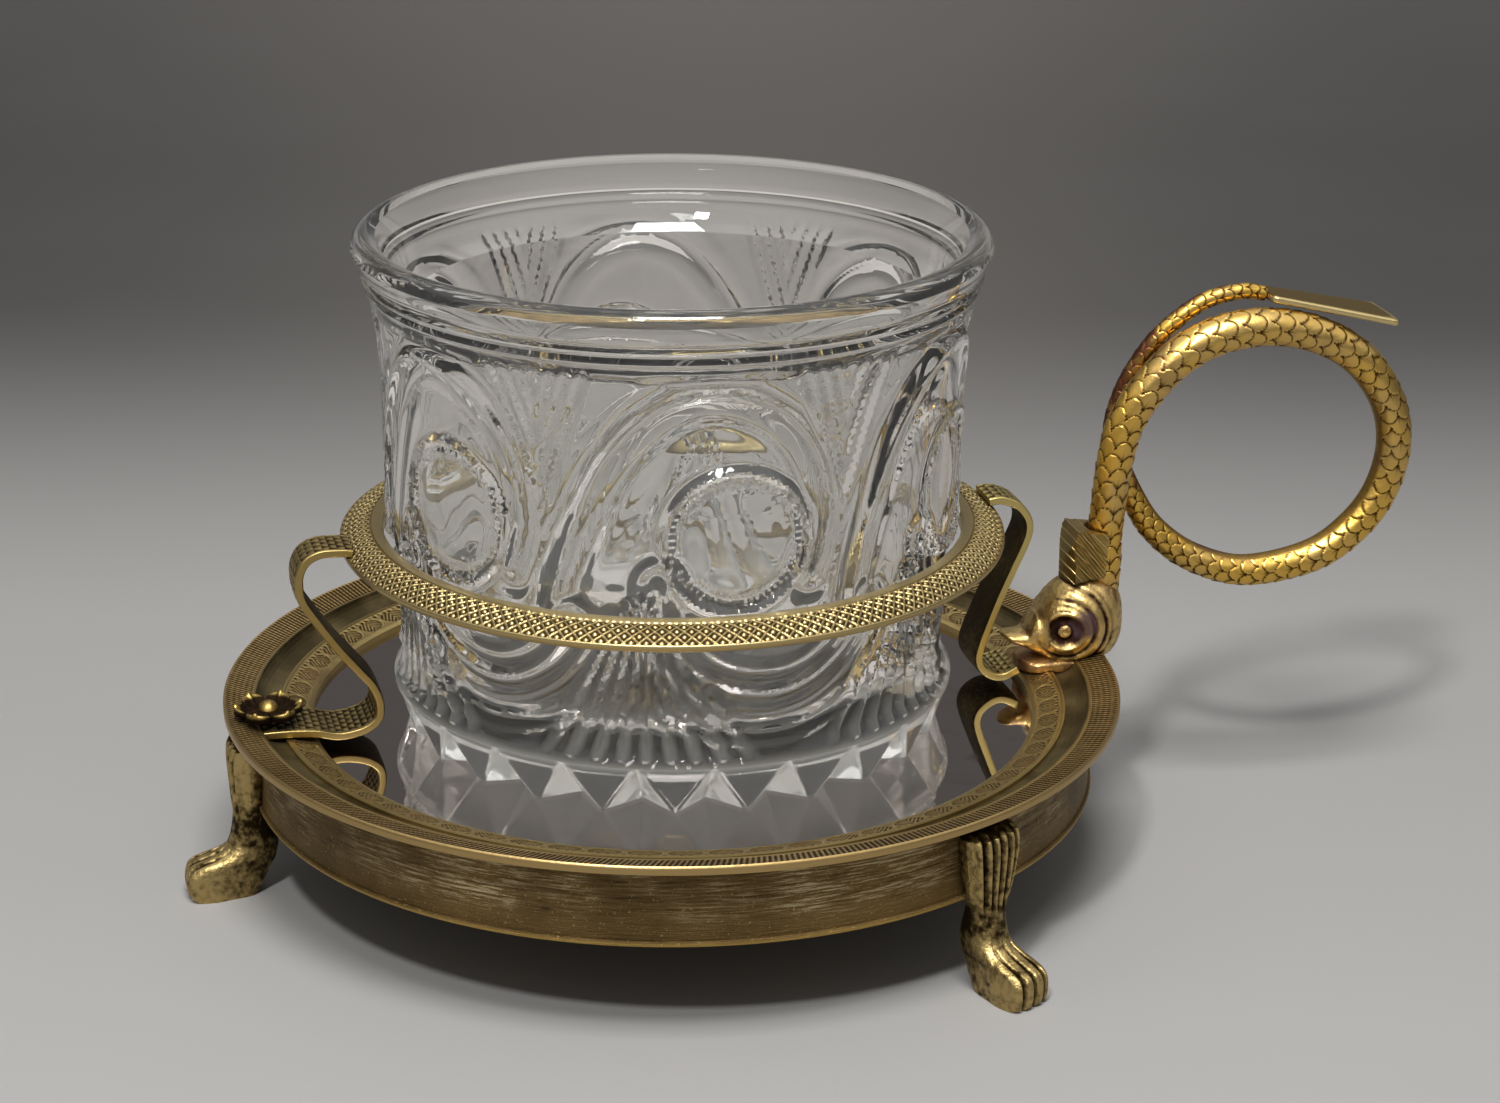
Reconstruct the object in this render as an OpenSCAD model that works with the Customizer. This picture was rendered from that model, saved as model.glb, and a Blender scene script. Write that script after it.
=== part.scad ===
// Footed tea glass stand: a round mirrored tray on three paw feet, a gallery ring on two bent
// straps that keeps the glass upright, a dolphin whose scaled body curls into the finger loop,
// and the heavy cut glass that stands in it. The origin is on the table under the middle of
// the tray, +X points to the handle and +Z up.

/* [Tray] */
// Radius over the rim
rim_r = 60; // [57:0.5:66]
// Height of the rim's upper edge above the table
rim_z = 25; // [23:0.5:30]
// Thickness of the rim's outer edge
rim_t = 1.1; // [0.8:0.1:1.6]
// Width of the patterned band next to the edge
band_w = 3.9; // [3:0.1:4.2]
// Fall of the patterned band towards its inner edge
band_fall = 0.8; // [0.4:0.1:1.2]
// Width of the smooth hollow moulding
hollow_w = 3.8; // [3.6:0.1:4.6]
// Depth of the hollow moulding below the band's inner edge
hollow_depth = 1.9; // [1.2:0.1:2.1]
// Width of the leaf band that holds the mirror
leaf_w = 3.4; // [3:0.1:4.4]
// Width of the plain lip inside the leaf band
lip_w = 0.6; // [0.4:0.1:1]
// Height of the tray's side from the rim's upper edge down
wall_h = 12.4; // [11.6:0.2:13.4]
// Thickness of the side sheet
wall_t = 0.6; // [0.4:0.1:0.8]
// Radius of the bead along the lower edge of the side
bead_r = 0.4; // [0.3:0.05:0.6]

/* [Tray inside] */
// Depth of the mirror's face below the rim's upper edge
mirror_drop = 4; // [3.8:0.1:4.6]
// Thickness of the mirror
mirror_t = 2.6; // [1.8:0.1:3]
// Thickness of the wooden core under the mirror
core_t = 4.2; // [3.6:0.1:4.6]
// Thickness of the base sheet
base_t = 0.8; // [0.5:0.1:1]
// Radius of the screws' shanks
screw_r = 0.9; // [0.7:0.05:1]
// Radius of the screws' heads
screw_head_r = 1.6; // [1.3:0.05:1.7]
// Number of screws in the base sheet
base_screws = 4; // [3:1:8]

/* [Paw feet] */
// Gap left between the top of a foot and the rim's upper edge
foot_drop = 3; // [2.6:0.1:4]
// Reach of the toes beyond the tray's side
foot_reach = 10.1; // [9:0.1:12]
// Width across the toes
foot_w = 7.2; // [6.4:0.1:8.4]
// Number of toes on a paw
toe_count = 4; // [3:1:5]
// Gap between neighbouring toes
toe_gap = 0.25; // [0.15:0.05:0.4]
// Number of flutes in the fan above a paw
flute_count = 6; // [4:1:7]
// Radius of a flute at its wide upper end
flute_r = 0.85; // [0.7:0.05:1]

/* [Gallery] */
// Height of the gallery ring's top above the rim's upper edge
ring_lift = 23.5; // [18:0.5:26]
// Radial width of the gallery ring
ring_w = 5.7; // [4.6:0.1:6.4]
// Height of the gallery ring
ring_h = 2.6; // [2:0.1:3.2]
// Width of the ring's smooth inner lip
ring_lip_w = 1.7; // [1.2:0.1:2]
// Clearance between the glass and the ring's bore
ring_gap = 0.6; // [0.4:0.1:1]
// Thickness of the straps
strap_t = 1.3; // [1:0.1:1.6]
// Width of a strap at its foot
strap_foot_w = 8.4; // [7:0.1:9]
// Width of a strap at the ring
strap_top_w = 6.2; // [5:0.1:7]
// Radius over the petals of the rosette
rosette_r = 4.5; // [4:0.1:4.8]
// Number of petals
petal_count = 6; // [5:1:8]

/* [Dolphin handle] */
// Distance from the rim's edge to the middle of the loop's outermost turn
loop_w = 42.9; // [38:0.5:48]
// Height of the loop's top above the rim
loop_h = 44; // [41:0.5:48]
// Radius of the scaled body at the neck
body_r = 2.45; // [2.2:0.05:2.7]
// Clearance where the tail passes behind the body
crossing_gap = 0.35; // [0.25:0.05:0.8]
// Length of the head from the nape to the tip of the beak
head_len = 17; // [16:0.25:18]
// Height of the head
head_h = 13.4; // [13:0.1:14]
// Width across the cheeks
head_w = 10.4; // [9.8:0.1:11]
// Length of the thumb plate
thumb_len = 18.6; // [15:0.2:21]
// Width of the thumb plate at its outer end
thumb_w = 9.8; // [8:0.1:11]
// Thickness of the thumb plate
thumb_t = 1.2; // [0.8:0.1:1.4]

/* [Glass] */
// Distance from the rim's edge in to the glass at the gallery ring
glass_inset = 22.4; // [21.8:0.1:23]
// Height of the glass
glass_h = 66.8; // [62:0.2:72]
// Flare of the lip beyond the glass at the gallery ring
lip_flare = 3.8; // [3:0.1:4.8]
// Thickness of the glass wall
glass_t = 4.2; // [3:0.1:5]
// Thickness of the glass under the drink
glass_base = 9; // [8:0.2:11]
// Number of teeth cut round the foot
tooth_count = 24; // [18:1:28]
// Depth of the cuts between the teeth at the mirror
tooth_depth = 4.6; // [3.6:0.1:5]
// Turn of the glass about its axis, in degrees
glass_turn = 2.4; // [0:0.1:15]

/* [Hidden] */
$fn = 96;
// Room left where one piece seats against another
seat_gap = 0.05;
// Overrun of cuts past the faces they open
over = 0.5;
// Azimuths of the left, front and back foot
foot_angles = [180, -60, 60];

// Small sizes of the rim's mouldings: bevel on the upper edge, thickness left over the lap,
// the lap itself, and the flat edge beside the hollow
rim_bevel = 0.2;
band_t = 0.75;
band_lap = 1.3;
band_edge_w = 0.3;
// Height and width of the ridge between the hollow and the leaf band
ridge_h = 0.55;
ridge_w = 0.45;
// Plain lip: height above the mirror, fall of its face and lap over the mirror's edge
lip_h = 1.1;
lip_fall = 0.3;
mirror_lap = 1.5;
// Running room round the mirror and the core, and thickness of the ledge above the core
ledge_gap = 0.3;
ledge_t = 1;
// Width and height of the side's lower edge where it is rolled in under the base sheet
roll_w = 1.1;
roll_h = 0.8;

// Heights and radii of the tray, from the rim inwards and down
wall_r = rim_r - band_w;
wall_in_r = wall_r - wall_t;
wall_z = rim_z - wall_h;
band_in_z = rim_z - band_fall;
hollow_z = band_in_z - hollow_depth;
ridge_z = hollow_z + ridge_h;
hollow_in_r = wall_r - hollow_w;
leaf_in_r = hollow_in_r - leaf_w;
lip_in_r = leaf_in_r - lip_w;
mirror_z = rim_z - mirror_drop;
mirror_r = lip_in_r + mirror_lap;
ledge_r = mirror_r + ledge_gap;
lap_z = band_in_z - band_t;
wall_top_z = lap_z - band_t;
core_r = wall_in_r - ledge_gap;
core_z = mirror_z - mirror_t - core_t;
base_z = core_z - base_t;

// Screws: height of a head, bite of a shank, and places of the base sheet's screws
screw_head_h = 0.9;
screw_bite = 2.4;
base_screw_bite = 3;
base_screw_at_share = 0.83;
foot_screw_z = core_z + core_t / 2;
// Screw under the dolphin, inside the tray's side
handle_screw_at = wall_in_r - screw_head_r - ledge_gap;
handle_screw_top_z = ridge_z + strap_t + 1.2 * screw_r;

// Gallery ring: bore, outer radius, heights, rounding, groove and lift of the bowed band
glass_r = rim_r - glass_inset;
ring_bore_r = glass_r + ring_gap;
ring_r = ring_bore_r + ring_w;
ring_top_z = rim_z + ring_lift;
ring_z = ring_top_z - ring_h;
ring_round = 0.35;
ring_groove = 0.2;
ring_edge_share = 0.35;
ring_bow = 0.35;
ring_bow_steps = 5;

// Rosette: its middle, its own fine screw, petal sizes and the thickness of its back
rosette_inset = 1.7;
rosette_at = wall_r - rosette_inset;
rosette_screw_r = 0.6;
rosette_screw_bite = 2.2;
rosette_back_t = 0.6;
petal_r = rosette_r * 0.4;
petal_h = 1.2;
petal_dome_share = 0.74;
petal_dome_at_share = 1.08;
boss_r = 1.35;
boss_h = 1.2;

// Straps: where they start, how far they reach, how high they rise, where the left one ends,
// and their bends as shares of the reach from the ring to the rosette and of the rise from the
// seat to the ring
strap_steps = 3;
strap_end_share = 0.65;
strap_seat_z = ridge_z + seat_gap + strap_t / 2;
strap_rise = ring_z + ring_h * strap_end_share - strap_seat_z;
strap_reach = rosette_at - ring_r;
strap_end_r = wall_r - 2 * band_edge_w;
left_path_shares = [
    [-0.25, 0.98], [0.05, 1], [0.31, 1], [0.485, 0.963], [0.575, 0.896], [0.59, 0.82],
    [0.555, 0.738], [0.39, 0.618], [0.15, 0.464], [-0.1, 0.327], [-0.27, 0.231], [-0.35, 0.139],
    [-0.34, 0.052], [-0.22, -0.002], [-0.03, -0.031], [0.19, -0.038], [0.45, -0.012]
];
right_path_shares = [
    [-0.25, 1], [-0.03, 1.015], [0.14, 1.005], [0.32, 0.967], [0.447, 0.892], [0.465, 0.817],
    [0.4, 0.73], [0.244, 0.584], [0.088, 0.435], [-0.04, 0.297], [-0.143, 0.177],
    [-0.19, 0.09], [-0.143, 0.023], [0.005, -0.027], [0.16, -0.036]
];
// Width of the tongue that runs on into the dolphin's jaw
tongue_w = 3;

// Dolphin's body: shares of loop_w, of the sideways step and of loop_h, then its girth
body_path_shares = [
    [-0.006, 0, 0.17, 1], [0, 0, 0.273, 1], [0.007, 0, 0.375, 1], [0.038, 0, 0.6, 1.06],
    [0.077, 0, 0.727, 1.08], [0.16, 0, 0.845, 1.09], [0.266, 0, 0.935, 1.11],
    [0.396, 0, 0.987, 1.12], [0.543, 0, 0.998, 1.09], [0.701, 0, 0.965, 1.06],
    [0.855, 0, 0.878, 1.05], [0.964, 0, 0.734, 1.02], [0.997, 0, 0.58, 1.01],
    [0.959, 0.02, 0.425, 1], [0.867, 0.1, 0.303, 0.99], [0.732, 0.2, 0.219, 0.96],
    [0.517, 0.36, 0.186, 0.9], [0.347, 0.6, 0.233, 0.85], [0.225, 0.8, 0.321, 0.78],
    [0.152, 0.95, 0.426, 0.71], [0.084, 1, 0.576, 0.64], [0.072, 1, 0.672, 0.6],
    [0.09, 0.96, 0.763, 0.57], [0.127, 0.9, 0.852, 0.55], [0.207, 0.8, 0.967, 0.53],
    [0.338, 0.72, 1.066, 0.5], [0.465, 0.68, 1.0955, 0.47], [0.549, 0.68, 1.084, 0.43]
];
crossing_girth_share = 0.8;
side_step = body_r * (1 + crossing_girth_share) + crossing_gap;
body_steps = 3;
body_sides = 14;

// Head from nape to beak: shares of its length, of its height for underside and top, and of
// half its width. The power fills out its lower corners.
head_section_shares = [
    [0, 0.4, 0.66, 0.2], [0.03, 0.26, 0.82, 0.52], [0.12, 0.16, 0.94, 0.8],
    [0.27, 0.1, 1, 0.93], [0.43, 0.06, 0.98, 0.96], [0.58, 0.08, 0.87, 0.9],
    [0.68, 0.16, 0.75, 0.82], [0.77, 0.22, 0.6, 0.72], [0.85, 0.28, 0.52, 0.6],
    [0.94, 0.36, 0.48, 0.36], [1, 0.41, 0.45, 0.1]
];
head_sides = 28;
head_low_power = 0.62;
// Overhang of the nape past the rim's edge, and drop of the jaw below the rim
nape_out = 3.2;
jaw_drop = 3;
head_z = rim_z - jaw_drop;
nape_x = rim_r + nape_out;
// Lower jaw: thickness, half width, front and back as shares of the head's length
jaw_t = 2.9;
jaw_half_w = 4;
jaw_front_share = 0.92;
jaw_back_share = 0.36;
jaw_front_x = nape_x - jaw_front_share * head_len;
// Cheeks and eyes: places as shares of the head's length and height, then radii
cheek_shares = [0.44, 0.54];
cheek_r_share = 0.36;
eye_shares = [0.54, 0.5];
eye_r = 1.65;
eye_rim_r = 0.35;
eye_ball_r = 0.85;
// Crest in front of the neck: outline as shares of its length and height from the neck's
// middle and the head's top, width, grooves
crest_len = 5.4;
crest_h = 7;
crest_w = 6.4;
crest_outline_shares = [[0, 0], [0.35, 0], [1, -0.09], [0.98, 0.45], [0.76, 1], [-0.05, 0.9]];
crest_grooves = 5;
crest_groove_r = 0.3;
crest_groove_turn = 38;
// Thumb plate: width at the tail as a share of the outer width, and cut of its corners
thumb_root_share = 0.65;
thumb_corner = 0.5;

// Paw foot: shares of its height, of its reach for back and front, and of half its width, then
// the depth of the grooves as a share of the reach, the power that squares the section, and the
// narrowing of its back
foot_h = rim_z - foot_drop;
toe_section_shares = [
    [0, 0.06, 0.93, 0.96, 0.07, 4, 0.45], [0.03, 0.03, 0.985, 1, 0.1, 4, 0.45],
    [0.09, -0.03, 1.01, 1.02, 0.12, 4, 0.45], [0.16, -0.1, 1, 1.02, 0.12, 4, 0.45],
    [0.2, -0.15, 0.95, 1, 0.11, 3.6, 0.42], [0.225, -0.18, 0.84, 0.98, 0.09, 3.2, 0.4],
    [0.25, -0.2, 0.68, 0.95, 0.06, 2.8, 0.36], [0.285, -0.22, 0.53, 0.9, 0.03, 2.4, 0.32],
    [0.33, -0.23, 0.44, 0.84, 0.01, 2.2, 0.28]
];
flute_section_shares = [
    [0.4, -0.2, 0.39, 0.79, 0, 2.1, 0.24], [0.47, -0.15, 0.36, 0.77, 0, 2.1, 0.18],
    [0.53, -0.1, 0.35, 0.79, 0.01, 2.3, 0.1], [0.58, -0.08, 0.36, 0.84, 0.04, 2.6, 0],
    [0.66, -0.08, 0.375, 0.94, 0.07, 3, 0], [0.76, -0.08, 0.39, 1.05, 0.085, 3.2, 0],
    [0.86, -0.08, 0.4, 1.14, 0.09, 3.2, 0], [0.93, -0.08, 0.39, 1.17, 0.08, 3.2, 0],
    [0.97, -0.08, 0.36, 1.16, 0.06, 3.2, 0], [0.99, -0.08, 0.3, 1.12, 0.04, 3.2, 0],
    [1, -0.08, 0.24, 1.06, 0.02, 3.2, 0]
];
foot_sides = 60;

// Glass: outline and inside as shares of glass_r and of glass_h, from the mirror up, and
// two hoops below the neck
glass_outline_shares = [
    [0.934, 0], [0.979, 0.084], [0.979, 0.096], [0.963, 0.106], [0.966, 0.118], [0.952, 0.13],
    [0.952, 0.16], [0.965, 0.28], [0.99, 0.38], [1, 0.45], [1.002, 0.6], [1.008, 0.72],
    [1.02, 0.8], [1.032, 0.84], [1.048, 0.9], [1.074, 0.945]
];
lip_round_share = 0.028;
bevel_shares = [[0.97, 0.925], [0.93, 0.87]];
glass_floor_round = 4;
glass_floor_steps = 6;
lip_steps = 6;
hoop_shares = [[1.05, 0.9], [1.064, 0.922]];
hoop_r = 0.4;
glass_in_r = glass_r - glass_t;
cut_slope = 45;

function unit(v) = v / norm(v);

// Point t of the way from p[i] to p[i + 1] on a smooth curve through all of p
function curve_at(p, i, t) =
    let (a = p[max(i - 1, 0)], b = p[i], c = p[i + 1], d = p[min(i + 2, len(p) - 1)])
    b + ((c - a) * t + (2 * a - 5 * b + 4 * c - d) * t * t + (3 * b - a - 3 * c + d) * t * t * t) / 2;

function curve(p, steps) = [
    for (i = [0:len(p) - 2], k = [0:steps - 1]) curve_at(p, i, k / steps),
    p[len(p) - 1]
];

// Direction of a path at its point i
function heading(path, i) = unit(path[min(i + 1, len(path) - 1)] - path[max(i - 1, 0)]);

// Outline of a strip of even thickness along a flat path
function strip_side(path, i, off) =
    let (d = heading(path, i))
    path[i] + off * [-d[1], d[0]];

function strip_outline(path, t) = [
    for (i = [0:len(path) - 1]) strip_side(path, i, -t / 2),
    for (i = [len(path) - 1:-1:0]) strip_side(path, i, t / 2)
];

// Triangles between rings of equal count, and a cap on the first and the last ring
function skin_faces(rings, sides) = [
    for (k = [0:rings - 2], i = [0:sides - 1], half = [0, 1])
        let (a = k * sides, j = (i + 1) % sides)
        half == 0 ? [a + i, a + sides + i, a + sides + j] : [a + i, a + sides + j, a + j],
    [for (i = [0:sides - 1]) i],
    [for (i = [sides - 1:-1:0]) (rings - 1) * sides + i]
];

module skin(rings) {
    sides = len(rings[0]);
    points = [for (ring = rings) for (p = ring) p];
    polyhedron(points, skin_faces(len(rings), sides), convexity = 6);
}

// A power below 1 on cosine or sine fills out the corners of a round section
function swell(v, power) = sign(v) * pow(abs(v), power);

// Tray

module tray_wall() {
    color("#7d6530") difference() {
        union() {
            rotate_extrude() polygon([
                [wall_in_r - roll_w, wall_z], [wall_r, wall_z], [wall_r, wall_top_z],
                [wall_in_r, wall_top_z], [wall_in_r, wall_z + roll_h],
                [wall_in_r - roll_w, wall_z + roll_h]
            ]);
            rotate_extrude() translate([wall_r, wall_z + bead_r]) circle(bead_r, $fn = 32);
        }
        foot_screw_holes(screw_r + seat_gap);
    }
}

module foot_screw_holes(r) {
    for (a = foot_angles)
        rotate([0, 0, a]) translate([wall_in_r - over, 0, foot_screw_z]) rotate([0, 90, 0])
            cylinder(r = r, h = wall_t + 2 * over);
}

module pattern_rim() {
    color("#8f7538") rotate_extrude() polygon([
        [wall_r, lap_z], [wall_r + band_lap, lap_z], [rim_r, rim_z - rim_t],
        [rim_r, rim_z - rim_bevel], [rim_r - rim_bevel, rim_z], [wall_r, band_in_z]
    ]);
}

// Quarter oval that falls from the band's edge to the bottom of the hollow
function hollow_points() =
    let (x = wall_r - band_edge_w, w = x - hollow_in_r - ridge_w)
    [for (a = [0:15:90]) [x - w * (1 - cos(a)), band_in_z - hollow_depth * sin(a)]];

module hollow_moulding() {
    color("#7a6532") difference() {
        rotate_extrude() polygon(concat(
            [[wall_r + band_lap, wall_top_z], [wall_r + band_lap, lap_z - seat_gap / 2],
             [wall_r - seat_gap / 2, lap_z - seat_gap / 2], [wall_r - seat_gap / 2, band_in_z]],
            hollow_points(),
            [[hollow_in_r + ridge_w, ridge_z], [hollow_in_r + seat_gap, ridge_z],
             [hollow_in_r + seat_gap, mirror_z - seat_gap / 2], [ledge_r, mirror_z - seat_gap / 2],
             [ledge_r, mirror_z - ledge_t], [wall_in_r - seat_gap, mirror_z - ledge_t],
             [wall_in_r - seat_gap, wall_top_z]]
        ));
        translate([-rosette_at, 0, 0]) cylinder(r = rosette_screw_r + seat_gap, h = rim_z);
        translate([handle_screw_at, 0, 0]) cylinder(r = screw_r + seat_gap, h = rim_z);
    }
}

module leaf_bezel() {
    color("#8a7038") rotate_extrude() polygon([
        [lip_in_r, mirror_z], [hollow_in_r, mirror_z], [hollow_in_r, ridge_z],
        [leaf_in_r, mirror_z + lip_h], [lip_in_r, mirror_z + lip_h - lip_fall]
    ]);
}

module mirror_plate() {
    color("#4b4644") translate([0, 0, mirror_z - mirror_t]) cylinder(r = mirror_r, h = mirror_t);
}

module core_board() {
    color("#8c6a45") difference() {
        translate([0, 0, core_z]) cylinder(r = core_r, h = core_t);
        for (a = foot_angles)
            rotate([0, 0, a]) translate([wall_in_r - screw_head_h - ledge_gap, 0, foot_screw_z])
                rotate([0, 90, 0])
                    cylinder(r = screw_head_r + ledge_gap, h = screw_head_h + over);
        base_screw_places() translate([0, 0, core_z - over])
            cylinder(r = screw_r + seat_gap, h = base_screw_bite + over + seat_gap);
    }
}

module base_screw_places() {
    for (i = [0:base_screws - 1])
        rotate([0, 0, 360 * (i + 0.5) / base_screws])
            translate([base_screw_at_share * core_r, 0, 0]) children();
}

module base_sheet() {
    color("#6e5a2f") difference() {
        translate([0, 0, base_z]) cylinder(r = core_r, h = base_t);
        base_screw_places() translate([0, 0, base_z - over])
            cylinder(r = screw_r + seat_gap, h = base_t + 2 * over);
    }
}

module base_screws() {
    color("#9a8450") base_screw_places() {
        translate([0, 0, base_z - screw_head_h]) cylinder(r = screw_head_r, h = screw_head_h);
        translate([0, 0, base_z - screw_head_h / 2])
            cylinder(r = screw_r, h = screw_head_h / 2 + base_t + base_screw_bite);
    }
}

// Paw feet

// Depth of the grooves between a number of lobes, side by side from u = -1 to u = 1
function groove(u, lobes) = 1 - abs(sin(90 * lobes * (u + 1)));

function foot_ring(s, lobes) =
    let (back = s[1] * foot_reach, front = s[2] * foot_reach)
    [for (i = [0:foot_sides - 1])
        let (a = 360 * i / foot_sides, u = sin(a), w = sign(cos(a)) * pow(1 - pow(abs(u), s[5]), 1 / s[5]))
        [
            (front + back) / 2 + (front - back) / 2 * w
                - s[4] * foot_reach * groove(u, lobes) * max(w, 0),
            s[3] * foot_w / 2 * u * (1 - s[6] * (1 - w) / 2),
            s[0] * foot_h
        ]];

module paw_foot(turn) {
    rotate([0, 0, turn]) difference() {
        translate([wall_r, 0, 0]) skin(concat(
            [for (s = toe_section_shares) foot_ring(s, toe_count)],
            [for (s = flute_section_shares) foot_ring(s, flute_count)]
        ));
        translate([0, 0, wall_z - seat_gap]) {
            cylinder(r = wall_r + seat_gap, h = wall_h);
            cylinder(r = wall_r + bead_r + seat_gap, h = 2 * (bead_r + seat_gap));
        }
        translate([wall_r - over, 0, foot_screw_z]) rotate([0, 90, 0])
            cylinder(r = screw_r + seat_gap, h = screw_bite + over + seat_gap);
    }
}

module paw_foot_left() color("#7f6a34") paw_foot(foot_angles[0]);
module paw_foot_front() color("#7f6a34") paw_foot(foot_angles[1]);
module paw_foot_back() color("#7f6a34") paw_foot(foot_angles[2]);

module foot_screws() {
    color("#9a8450") for (a = foot_angles)
        rotate([0, 0, a]) translate([0, 0, foot_screw_z]) rotate([0, 90, 0]) {
            translate([0, 0, wall_in_r - screw_head_h - seat_gap])
                cylinder(r = screw_head_r, h = screw_head_h);
            translate([0, 0, wall_in_r - screw_head_h])
                cylinder(r = screw_r, h = screw_head_h + wall_t + screw_bite);
        }
}

// Gallery ring and straps

function ring_band() =
    let (a = [ring_bore_r + ring_lip_w + ring_groove, ring_top_z - ring_groove / 2],
         b = [ring_r, ring_z + ring_edge_share * ring_h])
    [for (i = [0:ring_bow_steps])
        let (t = i / ring_bow_steps)
        a + (b - a) * t + [0, ring_bow * 4 * t * (1 - t)]];

module ring_body(grow) {
    rotate_extrude() polygon(concat(
        [[ring_bore_r, ring_z + ring_round], [ring_bore_r, ring_top_z - ring_round],
         [ring_bore_r + ring_round, ring_top_z], [ring_bore_r + ring_lip_w, ring_top_z],
         [ring_bore_r + ring_lip_w, ring_top_z - ring_groove]],
        [for (p = ring_band()) p + [grow, grow]],
        [[ring_r + grow, ring_z + ring_round - grow], [ring_r - ring_round, ring_z - grow],
         [ring_bore_r + ring_round, ring_z - grow]]
    ));
}

module gallery_ring() color("#b2954f") ring_body(0);

function strap_bends(shares) =
    [for (s = shares) [ring_r + s[0] * strap_reach, strap_seat_z + s[1] * strap_rise]];

// A bent strap that narrows from its foot to the ring. Its foot lies level from flat_r to end_r.
module bent_strap(shares, flat_r, end_r) {
    path = concat(
        curve(concat(strap_bends(shares), [[flat_r, strap_seat_z]]), strap_steps),
        [[end_r, strap_seat_z]]
    );
    low = strap_seat_z - strap_t;
    high = strap_seat_z + strap_rise + strap_t;
    difference() {
        intersection() {
            translate([0, strap_foot_w / 2, 0]) rotate([90, 0, 0]) linear_extrude(strap_foot_w)
                polygon(strip_outline(path, strap_t));
            rotate([90, 0, 90]) linear_extrude(rim_r) polygon([
                [-strap_foot_w / 2, low], [strap_foot_w / 2, low],
                [strap_top_w / 2, high], [-strap_top_w / 2, high]
            ]);
        }
        ring_body(seat_gap);
        rim_seat();
    }
}

module strap_left() {
    color("#8c7640") rotate([0, 0, 180]) difference() {
        bent_strap(left_path_shares, rosette_at - rosette_r / 2, strap_end_r);
        translate([rosette_at, 0, 0]) cylinder(r = rosette_screw_r + seat_gap, h = rim_z);
        strap_end_curve(strap_end_r);
    }
}

// Takes off the corners of a strap's end outside the given radius
module strap_end_curve(r) {
    difference() {
        cylinder(r = rim_r, h = rim_z);
        translate([0, 0, -over]) cylinder(r = r, h = rim_z + 2 * over);
    }
}

module strap_right() {
    color("#a58b4c") difference() {
        bent_strap(right_path_shares, jaw_front_x - seat_gap, handle_screw_at + 2 * screw_r);
        for (side = [-1, 1])
            translate([jaw_front_x - seat_gap, side * (strap_foot_w + tongue_w) / 2, strap_seat_z])
                translate([0, -strap_foot_w / 2, -strap_t])
                    cube([rim_r, strap_foot_w, 2 * strap_t]);
        translate([handle_screw_at, 0, 0]) cylinder(r = screw_r + seat_gap, h = rim_z);
    }
}

module rosette() {
    z = rim_z + seat_gap;
    back_r = rosette_r - petal_r;
    color("#8d7338") translate([-rosette_at, 0, 0]) difference() {
        union() {
            translate([0, 0, z]) linear_extrude(rosette_back_t) {
                circle(back_r);
                for (i = [0:petal_count - 1]) rotate(360 * i / petal_count) translate([back_r, 0])
                    circle(petal_r);
            }
            translate([0, 0, strap_seat_z + strap_t / 2])
                cylinder(r = boss_r, h = z - strap_seat_z - strap_t / 2 + rosette_back_t / 2);
            for (i = [0:petal_count - 1]) rotate([0, 0, 360 * i / petal_count])
                translate([back_r * petal_dome_at_share, 0, z + rosette_back_t / 2]) petal_dome();
        }
        cylinder(r = rosette_screw_r + seat_gap, h = 2 * rim_z);
    }
}

// Low dome of a petal, from the middle of the back's thickness
module petal_dome() {
    r = petal_r * petal_dome_share;
    h = petal_h - rosette_back_t / 2;
    rotate_extrude() polygon(concat(
        [[0, 0]], [for (a = [0:15:90]) [r * cos(a), h * sin(a)]]
    ));
}

module rosette_screw() {
    head_z = rim_z + seat_gap + rosette_back_t + seat_gap;
    color("#b39650") translate([-rosette_at, 0, 0]) {
        translate([0, 0, wall_top_z + seat_gap])
            cylinder(r = rosette_screw_r, h = head_z - wall_top_z);
        translate([0, 0, head_z]) intersection() {
            cylinder(r = boss_r, h = boss_h);
            translate([0, 0, boss_h - boss_r]) sphere(boss_r + seat_gap);
        }
    }
}

// Dolphin

function body_place(s) =
    [rim_r + s[0] * loop_w, s[1] * side_step, rim_z + s[2] * loop_h, s[3] * body_r];

body_path = curve([for (s = body_path_shares) body_place(s)], body_steps);

function centre_of(p) = [p[0], p[1], p[2]];
body_centres = [for (p = body_path) centre_of(p)];

function body_ring(i) =
    let (t = heading(body_centres, i), u = unit(cross([0, 1, 0], t)), v = cross(t, u))
    [for (k = [0:body_sides - 1])
        let (a = 360 * k / body_sides)
        body_centres[i] + body_path[i][3] * (cos(a) * u + sin(a) * v)];

module dolphin_body() {
    color("#d8a63a") skin([for (i = [0:len(body_path) - 1]) body_ring(i)]);
}

// The straight stretch of the neck, as a round hole to seat it in
module neck_bore() {
    d = body_centres[body_steps] - body_centres[0];
    translate(body_centres[0]) rotate([0, atan2(d[0], d[2]), 0])
        cylinder(r = body_r + seat_gap, h = head_h);
}

function head_ring(s) =
    let (low = head_z + s[1] * head_h, high = head_z + s[2] * head_h)
    [for (i = [0:head_sides - 1])
        let (a = 360 * i / head_sides)
        [
            nape_x - s[0] * head_len,
            s[3] * head_w / 2 * swell(sin(a), cos(a) < 0 ? head_low_power : 1),
            (low + high) / 2 + (high - low) / 2 * cos(a)
        ]];

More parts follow.
